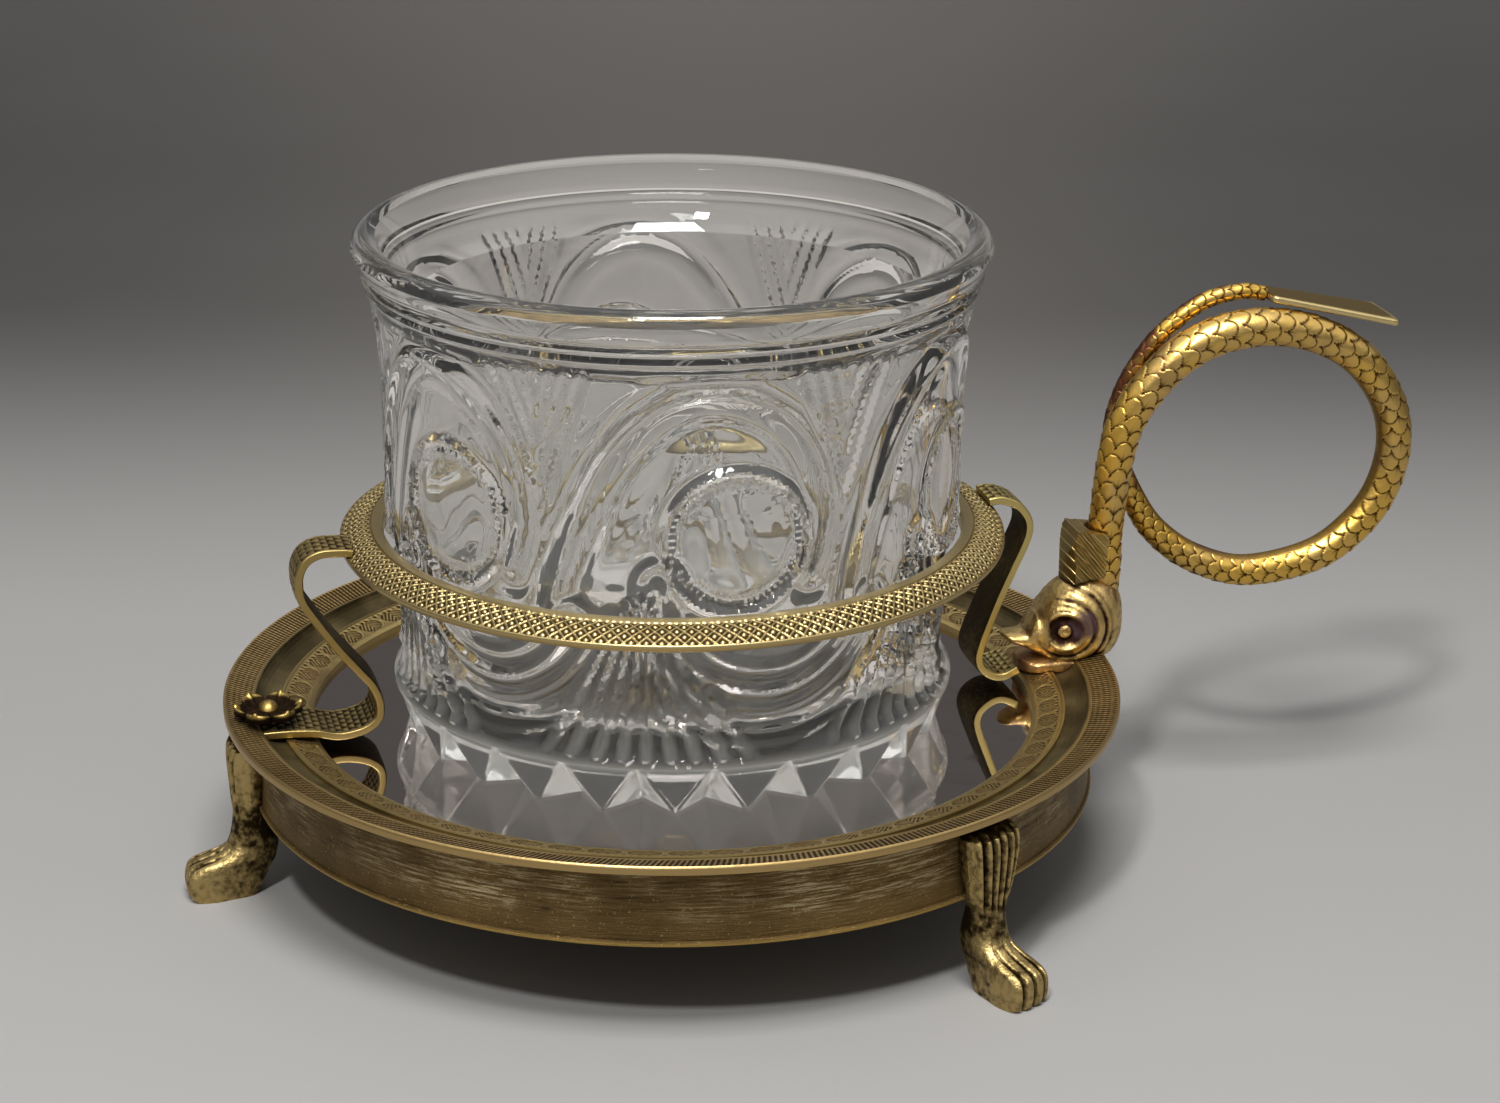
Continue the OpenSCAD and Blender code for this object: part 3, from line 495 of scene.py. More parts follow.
bore_r, ring_r, ring_z, ring_top = 38.2, 43.9, 45.9, 48.5
net_count, net_rows, net_depth = 146, 40, 0.3
slope_out = (ring_r, ring_z + 0.91, 2)
band = line((39.9, ring_top - 0.1), slope_out[:2], net_rows)
net_share = np.arange(net_rows) / net_rows
band[:, 1] += 0.35 * 4 * net_share * (1 - net_share)
ring_profile = np.vstack([
    band, traced(
        slope_out, (ring_r, ring_z + 0.35, 2), (ring_r - 0.35, ring_z, 3),
        (bore_r + 0.35, ring_z, 2), (bore_r, ring_z + 0.35, 2), (bore_r, ring_top - 0.4, 0),
    ),
    [(bore_r + 0.08, ring_top - 0.16), (bore_r + 0.25, ring_top - 0.04),
     (bore_r + 0.5, ring_top), (bore_r + 1.35, ring_top), (bore_r + 1.55, ring_top - 0.05),
     (bore_r + 1.62, ring_top - 0.25), (bore_r + 1.68, ring_top - 0.25)],
])
ring_grid, ring_angle = turned(ring_profile, net_count * 10)
ring_v = (np.arange(len(ring_profile)) / net_rows)[:, None]
net_u = net_count * ring_angle / (2 * np.pi)
net_v = 2.3 * ring_v
slant = [net_u + net_v, net_u - net_v]
near = [np.abs(s - np.round(s)) for s in slant]
strand = bell(np.minimum(near[0], near[1]), 0.085)
bead = np.sqrt(unit(1 - ((0.5 - near[0]) ** 2 + (0.5 - near[1]) ** 2) / 0.045))
on_net = (ring_v > 0.01) & (ring_v < 0.965)
ring_relief = np.where(on_net, unit(np.maximum(strand * 0.85, bead)), 1.0)
ring_grid[..., 2] -= net_depth * (1 - ring_relief)
ring_finish = aged_brass("ring_gilt", "#b8a473", "#3d2f19", 0.35, cut=(0.1, 0.75))
surface("ring_net", ring_grid, ring_finish, looped=True, relief=ring_relief, sharp=55,
        stands_for=["gallery_ring"])

# Gallery straps
# Two bent strips from the ring's edge to the tray's rim, wider at the foot. The face that turns
# outwards is chased with small scales, and the narrow edges and the back are plain. The back
# is painted darker as shade.

strap_t, strap_foot_w, strap_top_w = 1.3, 8.4, 6.2
strap_seat_z, strap_rise, strap_reach = 23.55, 24.04, 10.5
strap_scale_len, strap_scale_w, strap_scale_deep = 0.95, 1.5, 0.22
left_path = np.array([
    [-0.08, 0.992], [0.05, 1], [0.31, 1], [0.485, 0.963], [0.575, 0.896], [0.59, 0.82],
    [0.555, 0.738], [0.39, 0.618], [0.15, 0.464], [-0.1, 0.327], [-0.27, 0.231], [-0.35, 0.139],
    [-0.34, 0.052], [-0.22, -0.002], [-0.03, -0.031], [0.19, -0.038], [0.45, -0.012],
    [0.786, 0], [1.105, 0],
])
right_path = np.array([
    [-0.08, 1.006], [0.03, 1.012], [0.14, 1.005], [0.32, 0.967], [0.447, 0.892], [0.465, 0.817],
    [0.4, 0.73], [0.244, 0.584], [0.088, 0.435], [-0.04, 0.297], [-0.143, 0.177],
    [-0.19, 0.09], [-0.143, 0.023], [0.005, -0.027], [0.16, -0.036], [0.344, 0],
])


def seat_on_rim(grid):
    """Keeps a piece above the rim's mouldings: its height is at least that of the rim, the
    hollow or the leaf band at its distance from the axis, with a hair of room."""
    reach = np.hypot(grid[..., 0], grid[..., 1])
    floor = np.interp(
        reach, [48.2, 48.3, 48.9, 52.3, 52.8, 53.1, 54.2, 55.3, 55.9, 56.1, 59.8, 60.05, 60.1],
        [21.0, 21.9, 22.2, 22.95, 22.95, 22.4, 22.45, 23.2, 24.0, 24.3, 25.08, 25.08, 20.0]
    )
    grid = grid.copy()
    grid[..., 2] = np.maximum(grid[..., 2], floor)
    return grid


def squared(wave, power):
    """A sine or cosine made squarer, or rounder, by a power, with its sign kept."""
    return np.sign(wave) * np.abs(wave) ** power


def strap(name, shares, turn, finish, stands_for):
    """A rounded flat section carried along the strap's path: the section's outline is a power
    curve of cosine and sine, its width follows the height, and its outer face is lowered
    between the scales, which overlap in staggered rows."""
    path = np.array([ring_r, strap_seat_z]) + shares * np.array([strap_reach, strap_rise])
    path = smooth_path(path, 24)
    step = np.gradient(path, axis=0)
    heading = step / np.linalg.norm(step, axis=1, keepdims=True)
    run = np.concatenate([[0], np.cumsum(np.linalg.norm(np.diff(path, axis=0), axis=1))])
    angle = angles(96, 0.5)
    wide = squared(np.cos(angle), 0.8)[None, :]
    thick = squared(np.sin(angle), 0.22)[None, :]
    rise = unit((path[:, 1] - strap_seat_z) / strap_rise)[:, None]
    width = strap_foot_w + (strap_top_w - strap_foot_w) * rise
    y = wide * width / 2
    row = run[:, None] / strap_scale_len
    column = y / strap_scale_w + 0.5 * (np.floor(row) % 2)
    from_tip = row - np.floor(row)
    from_middle = np.abs(column - np.round(column)) * 2
    scale = unit(1.25 - np.hypot(from_tip * 0.9, from_middle * 0.95))
    faced = unit((thick - 0.5) * 4) * (np.abs(wide) < 0.86)
    relief = 1 - faced * (1 - scale)
    off = thick * (strap_t / 2 - strap_scale_deep * (1 - relief))
    x = path[:, :1] - off * heading[:, 1:]
    z = path[:, 1:] + off * heading[:, :1]
    # painted shade: the back face, turned in towards the glass, is made darker
    painted_shade_back = np.where(thick < -0.6, 0.25, 1.0)
    grid = seat_on_rim(spun(x, y, z + 0 * y, turn))
    surface(name, grid, finish, relief=relief * painted_shade_back, sharp=70, stands_for=stands_for)


strap_brass = aged_brass("strap_brass", "#a18c58", "#2e2312", 0.38, cut=(0.25, 0.85), spread=0.7)
strap_gilt = aged_brass("strap_gilt", "#c4b070", "#33270f", 0.34, cut=(0.2, 0.8), spread=0.5)
strap("strap_scaled_left", left_path, math.pi, strap_brass, ["strap_left"])
strap("strap_scaled_right", right_path, 0.0, strap_gilt, ["strap_right"])

# Rosette
# A small cast flower on the left strap's foot, held by one screw whose round head is its boss.
# Six cupped petals with gilt rims stand round it, black with old dirt inside.

rosette_at, rosette_r, rosette_z = 54.4, 4.5, 25.05


def rosette_grid():
    """Rings from the flower's middle outwards and back underneath. The outline swells into six
    petals, each petal's height is a cup that rises to its rim, and a fold runs down its middle."""
    share = np.concatenate([np.linspace(0.2, 1, 34), [1.0, 0.9, 0.2]])[:, None]
    angle = angles(240)[None, :]
    petal = np.abs(np.cos(3 * angle))
    edge = rosette_r * (0.7 + 0.3 * petal ** 0.42)
    cup = 0.75 + 0.95 * share ** 3 * petal ** 0.4 - 0.55 * bell(share - 0.62, 0.2)
    fold = 0.3 * bell(1 - petal, 0.02) * share
    rim = -0.35 * unit((share - 0.9) / 0.1) ** 2
    high = rosette_z + np.clip(cup + fold + rim, 0.2, 2.1)
    radius = share * edge
    radius[-2] *= 0.94
    high[-3] = rosette_z + 0.35
    high[-2:] = rosette_z
    tops = unit((high - rosette_z - 0.7) / 0.8)
    x, y = -rosette_at + radius * np.cos(angle), radius * np.sin(angle)
    return np.stack([x, y, high], -1), tops


flower, flower_relief = rosette_grid()
rosette_brass = aged_brass("rosette_brass", "#a88f50", "#241a10", 0.4, cut=(0.35, 0.95),
                           spread=0.8)
surface("rosette_flower", flower, rosette_brass, relief=flower_relief, sharp=70,
        stands_for=["rosette"])
dress("rosette_screw", plain_brass("boss_gilt", "#b89c5c", "#7a6232", 0.34, 400))

# Dolphin head
# The cast head that bites the strap's foot: a round cheek with curved gill folds, a ringed eye
# sunk in a dark socket, a smooth beak and a red lower jaw. Bright gilding over red brown.

head_len, head_h, head_w, head_z, nape_x = 17.0, 13.4, 10.4, 22.0, 63.2
eye_x, eye_z = 54.0, 28.7
jaw_x, jaw_len, jaw_w, jaw_z = 56.6, 8.0, 8.0, 23.25
head_rows = np.array([
    [0.000, 0.40, 0.66, 0.20], [0.010, 0.34, 0.74, 0.36], [0.030, 0.26, 0.82, 0.54],
    [0.120, 0.14, 0.94, 0.84], [0.270, 0.09, 1.00, 0.98], [0.430, 0.07, 0.99, 1.00],
    [0.560, 0.09, 0.89, 0.93], [0.640, 0.14, 0.78, 0.80], [0.700, 0.19, 0.66, 0.66],
    [0.740, 0.21, 0.62, 0.61], [0.775, 0.235, 0.55, 0.55], [0.810, 0.26, 0.465, 0.50],
    [0.870, 0.295, 0.44, 0.47], [0.940, 0.335, 0.435, 0.42], [0.980, 0.37, 0.43, 0.28],
    [1.000, 0.395, 0.42, 0.10],
])


def gilt(name, high="#d8ba78", low="#33201a", blush="#7a5546", rough=0.34, purple=None):
    """Bright mercury gilding: gold on the tops, brown in the hollows, red where it has worn
    through in patches, a purple tarnish round a chosen place, and a soft satin grain."""
    finish = Finish(name)
    top = finish.relief()
    patch, speck = finish.noise(95, 5), finish.noise(1400, 4)
    mottle = finish.noise(520, 3)
    raised = (top + (patch - 0.5) * 1.1 + (mottle - 0.5) * 1.7).between(0.35, 1.15)
    base = finish.mix(raised, tint(low), tint(high))
    base = finish.mix((patch + mottle).between(1.02, 1.25) * 0.7, base, tint(blush))
    if purple:
        away = finish.node("ShaderNodeVectorMath", {"operation": "DISTANCE"},
                           {0: finish.place(), 1: purple}, 1)
        near = (away + (patch - 0.5) * 0.002).between(0.0024, 0.0014)
        base = finish.mix(near * 0.85, base, tint("#6d5358"))
    finish.metal(base, (rough + 0.25) - 0.25 * raised)
    finish.bump(speck + mottle, 0.00012)
    return finish


def head_surface():
    """Rings along the head from nape to beak. Each point is pushed out or in by its distance
    from the eye: a ball, a deep socket and its ring, three gill folds that are deepest behind,
    and thin lines in front."""
    rows = smooth_path(head_rows, 12)
    share, low, high, half = (rows[:, k][:, None] for k in range(4))
    angle = angles(200)
    low, high = head_z + low * head_h, head_z + high * head_h
    x = nape_x - share * head_len + 0 * angle
    below = np.cos(angle) < 0
    bulge = np.where(below, squared(np.sin(angle), 0.62), squared(np.sin(angle), 0.85))
    y = half * head_w / 2 * bulge
    z = (low + high) / 2 + (high - low) / 2 * np.cos(angle)
    away = np.hypot(x - eye_x, z - eye_z)
    bearing = np.arctan2(z - eye_z, x - eye_x)
    sided = unit(np.abs(bulge) * 2 - 0.6)
    behind = 0.5 + 0.5 * np.cos(bearing + 0.35)
    ball = 0.8 * np.sqrt(unit(1 - (away / 1.15) ** 2)) - 0.3 * (away < 0.4)
    socket = np.exp(-((away / 2.1) ** 6))
    ring = 0.4 * bell(away - 2.6, 0.4)
    spiral = away - 0.5 * bearing / np.pi
    folds = -0.5 * (bell(spiral - 4.1, 0.3) + bell(spiral - 5.9, 0.3))
    folds = (folds - 0.25 * bell(spiral - 6.9, 0.3)) * (0.25 + 0.75 * behind)
    swell = 0.45 * bell(away - 4.6, 1.3) * behind
    fine = (0.5 + 0.5 * np.cos(2 * np.pi * spiral / 0.66)) ** 2 * (away > 2.9) * (share < 0.62)
    fine = fine * unit(1.25 - 1.6 * behind) * (away < 7)
    push = (ball - 0.95 * socket + ring + folds + swell - 0.12 * fine) * sided
    y = y + np.sign(bulge) * push * (share < 0.66)
    dark = socket * (away > 0.9) + 1.5 * unit(-folds) + 0.55 * fine
    return seat_on_rim(np.stack([x, y, z], -1)), unit(1 - dark * sided)


head_grid, head_relief = head_surface()
head_gilt = gilt("head_gilt", purple=(0.0568, -0.0045, 0.0296))
surface("dolphin_face", head_grid, head_gilt, relief=head_relief, sharp=75,
        stands_for=["dolphin_head"])


def lower_jaw():
    """A flat tongue of metal under the beak: rings along it, each a rounded flat section that
    narrows and thins to the front."""
    share = np.linspace(0, 1, 40)[:, None]
    angle = angles(64)
    x = jaw_x - jaw_len * share + 0 * angle
    half = jaw_w / 2 * np.sqrt(np.clip(1 - unit((share - 0.72) / 0.3) ** 2, 0.02, 1))
    thick = 1.25 - 0.35 * share
    y, z = half * squared(np.sin(angle), 0.6), jaw_z + thick * squared(np.cos(angle), 0.5)
    return seat_on_rim(np.stack([x, y, z], -1))


surface("dolphin_jaw", lower_jaw(), gilt("jaw_gilt", "#c09a66", "#3a2116", "#946252", 0.4))

# Dolphin crest
# A small cast block in front of the neck, ribbed aslant with thin bright lines, soldered to the
# head and the body.

rib_pitch = 1.1


def crest_finish():
    """Brown gold with thin bright slanting lines, by a sine of place along the slant."""
    finish = Finish("crest_gilt")
    x, _, z = finish.axes()
    slant = (x * 0.72 + z * 0.69) * (2 * math.pi / (rib_pitch * 0.001))
    stripe = slant.math("SINE").between(0.72, 0.98)
    patch, speck = finish.noise(160, 4), finish.noise(1400)
    base = finish.mix(patch.between(0.35, 0.7), tint("#86703e"), tint("#b0965a"))
    base = finish.mix(stripe * 0.8, base, tint("#e3c88a"))
    base = finish.mix(z.between(0.0362, 0.0345) * 0.85, base, tint("#3a2226"))
    finish.metal(base, 0.4 - 0.12 * stripe)
    finish.bump(stripe + speck * 0.2, 0.00014)
    return finish


dress("dolphin_crest", crest_finish())

# Dolphin body
# The long body is a bar tapered and bent round into the finger loop, its tail passing behind
# the neck. Scales are chased on it in staggered rows that point to the tail, and only the side
# that touches the finger is plain.

body_r, body_scale_deep = 2.45, 0.08
loop_size, loop_middle = np.array([42.9, 4.76, 44.0]), np.array([83.2, 2.4, 51.0])
body_start, body_steps, loop_from, tail_from = np.array([rim_r, 0, rim_z]), 44, 7, 20
body_path = np.array([
    [0.012, 0, 0.17, 1], [0.019, 0, 0.273, 1], [0.019, 0, 0.375, 1], [0.042, 0, 0.6, 1.06],
    [0.077, 0, 0.727, 1.08], [0.16, 0, 0.845, 1.09], [0.266, 0, 0.935, 1.11],
    [0.396, 0, 0.987, 1.12], [0.543, 0, 0.998, 1.09], [0.701, 0, 0.965, 1.06],
    [0.855, 0, 0.878, 1.05], [0.964, 0, 0.734, 1.02], [0.997, 0, 0.58, 1.01],
    [0.959, 0.02, 0.425, 1], [0.867, 0.1, 0.303, 0.99], [0.732, 0.2, 0.219, 0.96],
    [0.517, 0.36, 0.186, 0.9], [0.347, 0.6, 0.233, 0.85], [0.225, 0.8, 0.321, 0.78],
    [0.152, 0.95, 0.426, 0.71], [0.084, 1, 0.576, 0.64], [0.072, 1, 0.672, 0.6],
    [0.09, 0.96, 0.763, 0.57], [0.127, 0.9, 0.852, 0.55], [0.207, 0.8, 0.967, 0.53],
    [0.338, 0.72, 1.066, 0.5], [0.465, 0.68, 1.0955, 0.47], [0.549, 0.68, 1.084, 0.43],
])


def scaled_body():
    """A round bar carried along the path. Every row of scales, six round the bar and four
    round its thin tail, ends in round tips and covers the root of the next row, which is
    staggered by half a scale. The bar is lowest at a scale's root, rises to its tip, and has a
    dark seam after each tip. The side of the loop that faces the finger is plain."""
    curve = smooth_path(body_path, body_steps)
    centre = body_start + curve[:, :3] * loop_size
    step = np.gradient(centre, axis=0)
    heading = step / np.linalg.norm(step, axis=1, keepdims=True)
    u = np.cross([0, 1.0, 0], heading)
    u /= np.linalg.norm(u, axis=1, keepdims=True)
    v = np.cross(heading, u)
    radius = curve[:, 3] * body_r
    length = np.linalg.norm(np.diff(centre, axis=0), axis=1)
    thin = np.arange(len(curve)) > tail_from * body_steps
    pitch = radius * np.where(thin, 1.08, 0.74)
    row = np.concatenate([[0], np.cumsum(length / pitch[1:])])[:, None]
    angle = angles(80)[None, :]
    place = np.where(thin, 4, 6)[:, None] * angle / (2 * np.pi)

    def tips(number):
        """Where the tips of one row of scales end, and how slanting their edge is there."""
        across = place + 0.5 * (number % 2)
        across = 2 * (across - np.round(across))
        bow = np.sqrt(np.clip(1 - across ** 2, 0.03, 1))
        return number + 0.98 * bow, 1.4 * np.abs(across) / bow, across

    count = np.floor(row)
    before, here, after = tips(count - 1), tips(count), tips(count + 1)
    covered = row < here[0]
    root = np.where(covered, before[0], here[0])
    slant = np.where(covered, before[1], here[1])
    end = np.where(covered, here[0], after[0])
    across = np.where(covered, here[2], after[2])
    beyond = (row - root) * pitch[:, None] / np.hypot(1, slant)
    rise = unit((row - root) / np.maximum(end - root, 0.2))
    height = 0.2 + 0.8 * rise - 0.25 * across ** 2 * rise
    seam = bell(beyond, 0.2)
    # painted shade: each scale is darker at its root and lighter towards its tip
    relief = unit(1 - seam) * (0.75 + 0.25 * rise)
    inward = loop_middle - centre
    inward /= np.linalg.norm(inward, axis=1, keepdims=True)
    facing = np.einsum("ij,ij->i", u, inward)[:, None] * np.cos(angle)
    facing = facing + np.einsum("ij,ij->i", v, inward)[:, None] * np.sin(angle)
    in_loop = (np.arange(len(curve)) > loop_from * body_steps)[:, None]
    plain = unit((facing - 0.74) * 8) * in_loop
    relief = relief + (0.42 - relief) * plain
    low = (1 - height * (1 - 0.4 * seam)) * (1 - plain)
    out = radius[:, None] * (1 - body_scale_deep * low)
    grid = centre[:, None] + out[..., None] * (
        np.cos(angle)[..., None] * u[:, None] + np.sin(angle)[..., None] * v[:, None]
    )
    return grid, relief


body_grid, body_relief = scaled_body()


def body_finish():
    """Gilding as on the head, darker and purple brown where the thin tail passes behind the
    neck, by the place along y."""
    finish = Finish("body_gilt")
    top, y = finish.relief(), finish.axes()[1]
    patch, speck = finish.noise(110, 5), finish.noise(1400, 4)
    raised = (top + (speck - 0.5) * 0.2).between(0.1, 0.95)
    tail = y.between(0.0014, 0.0036)
    base = finish.mix(patch.between(0.4, 0.62), tint("#dcb254"), tint("#d0ae68"))
    base = finish.mix(raised, tint("#452b10"), base)
    worn = (patch + tail * 0.2).between(0.56, 0.68) * (0.25 + 0.65 * tail)
    base = finish.mix(worn, base, tint("#5b2f28"))
    finish.metal(base, 0.54 - 0.22 * raised)
    finish.bump(speck, 0.00005)
    return finish


surface("dolphin_scales", body_grid, body_finish(), relief=body_relief, sharp=80,
        stands_for=["dolphin_body"])

# Thumb plate
# The tail's end is soldered to a flat plate that widens outwards, where the thumb rests. It is
# plain, with rounded edges, and its gilding is rubbed pale.

thumb_len, thumb_w, thumb_t = 18.6, 9.8, 1.2
tail_end = body_start + body_path[-1, :3] * loop_size


def thumb_grid():
    """A flat rounded section carried outwards along the tail's last heading, widening from the
    tail to the plate's outer end. Its edges are marked as rubbed bright."""
    last = smooth_path(body_path, 3)[-2:, :3] * loop_size
    ahead = last[1] - last[0]
    ahead /= np.linalg.norm(ahead)
    side = np.cross(np.cross(ahead, [0, 1.0, 0]), ahead)
    side /= np.linalg.norm(side)
    up = np.cross(ahead, side)
    share = np.concatenate([[0.004], np.linspace(0.02, 0.98, 30), [0.996]])[:, None]
    angle = angles(72, 0.5)
    half = thumb_w / 2 * (0.65 + 0.35 * share)
    half[[0, -1]] -= 0.25
    wide, tall = squared(np.cos(angle), 0.35), squared(np.sin(angle), 0.5)
    thick = np.full_like(share, thumb_t / 2)
    thick[[0, -1]] -= 0.18
    grid = (
        tail_end + (share * thumb_len)[..., None] * ahead
        + (half * wide)[..., None] * side - (thick * tall)[..., None] * up
    )
    return grid, unit(np.abs(wide) ** 10 + share ** 30)


thumb, thumb_relief = thumb_grid()
surface("thumb_rest", thumb, aged_brass("thumb_gilt", "#d6c088", "#60502f", 0.32, patches=130),
        relief=thumb_relief, sharp=60, stands_for=["thumb_plate"])

# Glass
# A thick pressed and cut tumbler: a wide bevel inside the lip, two hoops under it, six running
# scrolls with round medallions, fans of ribs between them, and a star foot of 24 cut points.

glass_r, glass_h, lip_r, glass_in_r = 37.6, 66.8, 41.4, 33.4
repeats, tooth_count, tooth_depth, tooth_turn = 6, 24, 4.6, math.radians(2.4)
medal_z, medal_r, medal_turn = 36.5, 9.2, math.radians(-90.9)
hoops, foot_hoop, under_ring, ring_clear = (60.1, 61.6), 6.7, 24.8, 37.85
glass_columns = 624


def glass_relief(height, angle):
    """Height of the pressed pattern in mm at each height and angle of one of its six repeats:
    rounded ridges along the scroll, ring and bowl, each from the distance to its curve, a lens
    inside the medallion, nested chevrons above, and ribs that fan out downwards between them."""
    x = angle * glass_r
    z = height + 0 * angle
    pitch = 2 * np.pi * glass_r / repeats

    def distance(route):
        """Least distance to a curve through listed points, and to its copies on each side."""
        points = smooth_path(np.array(route, float), 14)
        far = np.full(z.shape, 1e3)
        for shift in (-pitch, 0, pitch):
            for px, pz in points:
                far = np.minimum(far, np.hypot(x - px - shift, z - pz))
        return far

    scroll = distance([
        (-23.5, 27), (-22.4, 32), (-20, 39), (-16.5, 46.5), (-11.5, 52.5), (-6, 55.6),
        (0, 55.6), (6.5, 52), (10.8, 45.5), (12, 38), (10.2, 31.5),
    ])
    bowl = distance([
        (-9.5, 31), (-8.4, 25), (-4.5, 19.6), (1.5, 16.8), (8, 16.6), (14, 19.5), (18.6, 25),
    ])
    away = np.hypot(x, z - medal_z)
    bearing = np.arctan2(z - medal_z, x)
    ring = bell(away - medal_r, 0.55)
    notch = bell(away - 8.1, 0.55) * (0.5 + 0.5 * np.cos(58 * bearing))
    lens = 0.55 * np.sqrt(unit(1 - (away / 7.6) ** 2))
    ridge = 0.85 * bell(scroll, 0.95) + 0.65 * bell(bowl, 0.8)
    for gap in (5.4, 7.7):
        ridge += 0.4 * bell(bowl - gap, 0.6) * unit((17.5 - gap / 2 - z) * 2)
    ridge += 0.35 * bell(bowl - 2.9, 0.7) - 0.35 * bell(scroll - 2.8, 0.9)

    chevrons, ribs = np.zeros(z.shape), np.zeros(z.shape)
    for shift in (-pitch, 0, pitch):
        dx, dz = x - 14.4 - shift, z - 38.5
        nest = dz - 3.1 * np.abs(dx)
        stripe = bell((nest / 6 - np.round(nest / 6)) * 6 / 3.26, 0.6)
        chevrons += stripe * (nest > -3) * (nest < 29) * unit((59 - z) / 1.5)
        dx, dz = x + 11.4 - shift, 33.0 - z
        turn = np.arctan2(dx, np.maximum(dz, 1e-3)) / 0.56
        rib = np.cos(turn * np.pi * 4.5) ** 2 * unit((dz - 2) / 3)
        ribs += rib * unit((1 - np.abs(turn)) * 6)
    fade = unit((z - 7.2) / 0.5) * unit((58.5 - z) / 1.5)
    pattern = 1.0 * ring + 0.5 * notch + lens + ridge
    covered = unit((away - 10) / 1.5) * unit(scroll / 1.5 - 0.6)
    pattern += 0.55 * chevrons * covered + 1.1 * ribs * unit(bowl / 1.4 - 0.4) * covered
    return (pattern - 0.5) * fade, unit(pattern * 1.1) * fade


def glass_grid():
    """The wall's outline turned about the axis, with the pressed pattern added, and the foot cut
    back to slanting planes between its points: at each angle a plane through the valley line
    limits the radius. Then over the rounded lip, down the bevel and the bore to the floor."""
    outline = np.array([
        [0.934, 0], [0.979, 0.084], [0.979, 0.096], [0.963, 0.106], [0.966, 0.118],
        [0.952, 0.13], [0.952, 0.16], [0.965, 0.28], [0.99, 0.38], [1, 0.45], [1.002, 0.6],
        [1.008, 0.72], [1.02, 0.8], [1.032, 0.84], [1.048, 0.9], [1.074, 0.945],
    ]) * np.array([glass_r, glass_h])
    height = np.concatenate([
        np.linspace(0, 8.2, 17), np.linspace(8.6, 58.4, 112), np.linspace(58.8, 63.1, 12)
    ])
    radius = np.interp(height, outline[:, 1], outline[:, 0])
    for hoop in hoops:
        radius = radius + 0.42 * bell(height - hoop, 0.38)
    radius = radius + 0.65 * bell(height - foot_hoop, 0.75)
    angle = angles(glass_columns)
    sector = 2 * np.pi / repeats
    local = (angle - medal_turn + sector / 2) % sector - sector / 2
    pattern, crests = glass_relief(height[:, None], local[None, :])
    crests = np.maximum(crests, bell(height - foot_hoop, 0.6)[:, None])
    wall = radius[:, None] + pattern
    wall = np.minimum(wall, np.where(height < under_ring, ring_clear, 60)[:, None])
    tip = outline[0, 0]
    wedge = (angle - tooth_turn) * tooth_count / (2 * np.pi) - 0.5
    off = np.abs(wedge - np.round(wedge)) * 2 * np.pi / tooth_count
    spread = tip * math.sin(math.pi / tooth_count) / (tooth_depth * math.sqrt(0.5))
    slope = np.cos(off) * math.sqrt(0.5) - np.sin(off) / spread
    limit = (tip - tooth_depth + height[:, None]) * math.sqrt(0.5) / np.maximum(slope, 1e-3)
    wall = np.where(height[:, None] < 9, np.minimum(wall, limit), wall)
    lip_round = 0.028 * glass_h
    lip, fillet = np.linspace(0, 0.75 * np.pi, 6), np.linspace(0, np.pi / 2, 4)
    rest = np.vstack([
        np.column_stack([
            lip_r - lip_round + lip_round * np.cos(lip),
            glass_h - lip_round + lip_round * np.sin(lip),
        ]),
        [(0.97 * glass_r, 0.925 * glass_h), (0.93 * glass_r, 0.872 * glass_h)],
        [(0.9 * glass_r, 0.855 * glass_h), (glass_in_r, 0.82 * glass_h)],
        [(glass_in_r, 40.0), (glass_in_r, 22.0)],
        np.column_stack([glass_in_r - 4 * (1 - np.cos(fillet)), 13 - 4 * np.sin(fillet)]),
        [(20.0, 9.0), (6.0, 9.0)],
    ])
    radii = np.vstack([wall, np.repeat(rest[:, :1], glass_columns, 1)])
    levels = np.concatenate([height, rest[:, 1]])[:, None] + mirror_z + 0 * angle
    crests = np.vstack([crests, np.zeros((len(rest), glass_columns))])
    return np.stack([radii * np.cos(angle), radii * np.sin(angle), levels], -1), crests


def glass_finish():
    """Clear soda glass with a faint green cast. A small matt share stands for the veil of fine
    scratches, and more of it low down for the light that is thrown about in the thick foot."""
    finish = Finish("clear_glass")
    glass = {"Roughness": 0.0, "IOR": 1.5, "Transmission_Weight": 0.985}
    finish.paint(Base_Color=(0.975, 0.985, 0.975), **glass)
    finish.bump(finish.noise(90, 2), 0.0002, 0.25)
    clear = Wire(finish, finish.surface.outputs[0])
    veil = finish.node("ShaderNodeBsdfTranslucent", None, {0: (0.95, 0.96, 0.94)})
    up = finish.axes()[2]
    foot = up.between(0.036, 0.0295)
    share = foot * (0.15 + 0.42 * finish.relief()) + up.between(0.0284, 0.0276) * 0.16
    share = share + up.between(0.0216, 0.0211) * 0.1
    both = finish.node("ShaderNodeMixShader", None, {0: share, 1: clear, 2: veil})
    finish.feed(finish.tree.nodes["Material Output"].inputs[0], both)
    return finish


tumbler, tumbler_relief = glass_grid()
surface("tumbler", tumbler, glass_finish(), body="glass", relief=tumbler_relief, sharp=32,
        stands_for=["glass_tumbler"])

# Studio
# A pale grey table that runs back into shade, one broad soft box overhead and to the front, a
# small lamp to the front left, and the camera at the photograph's place.

sight_x, sight_y, table_half = 0.247, 0.969, 3


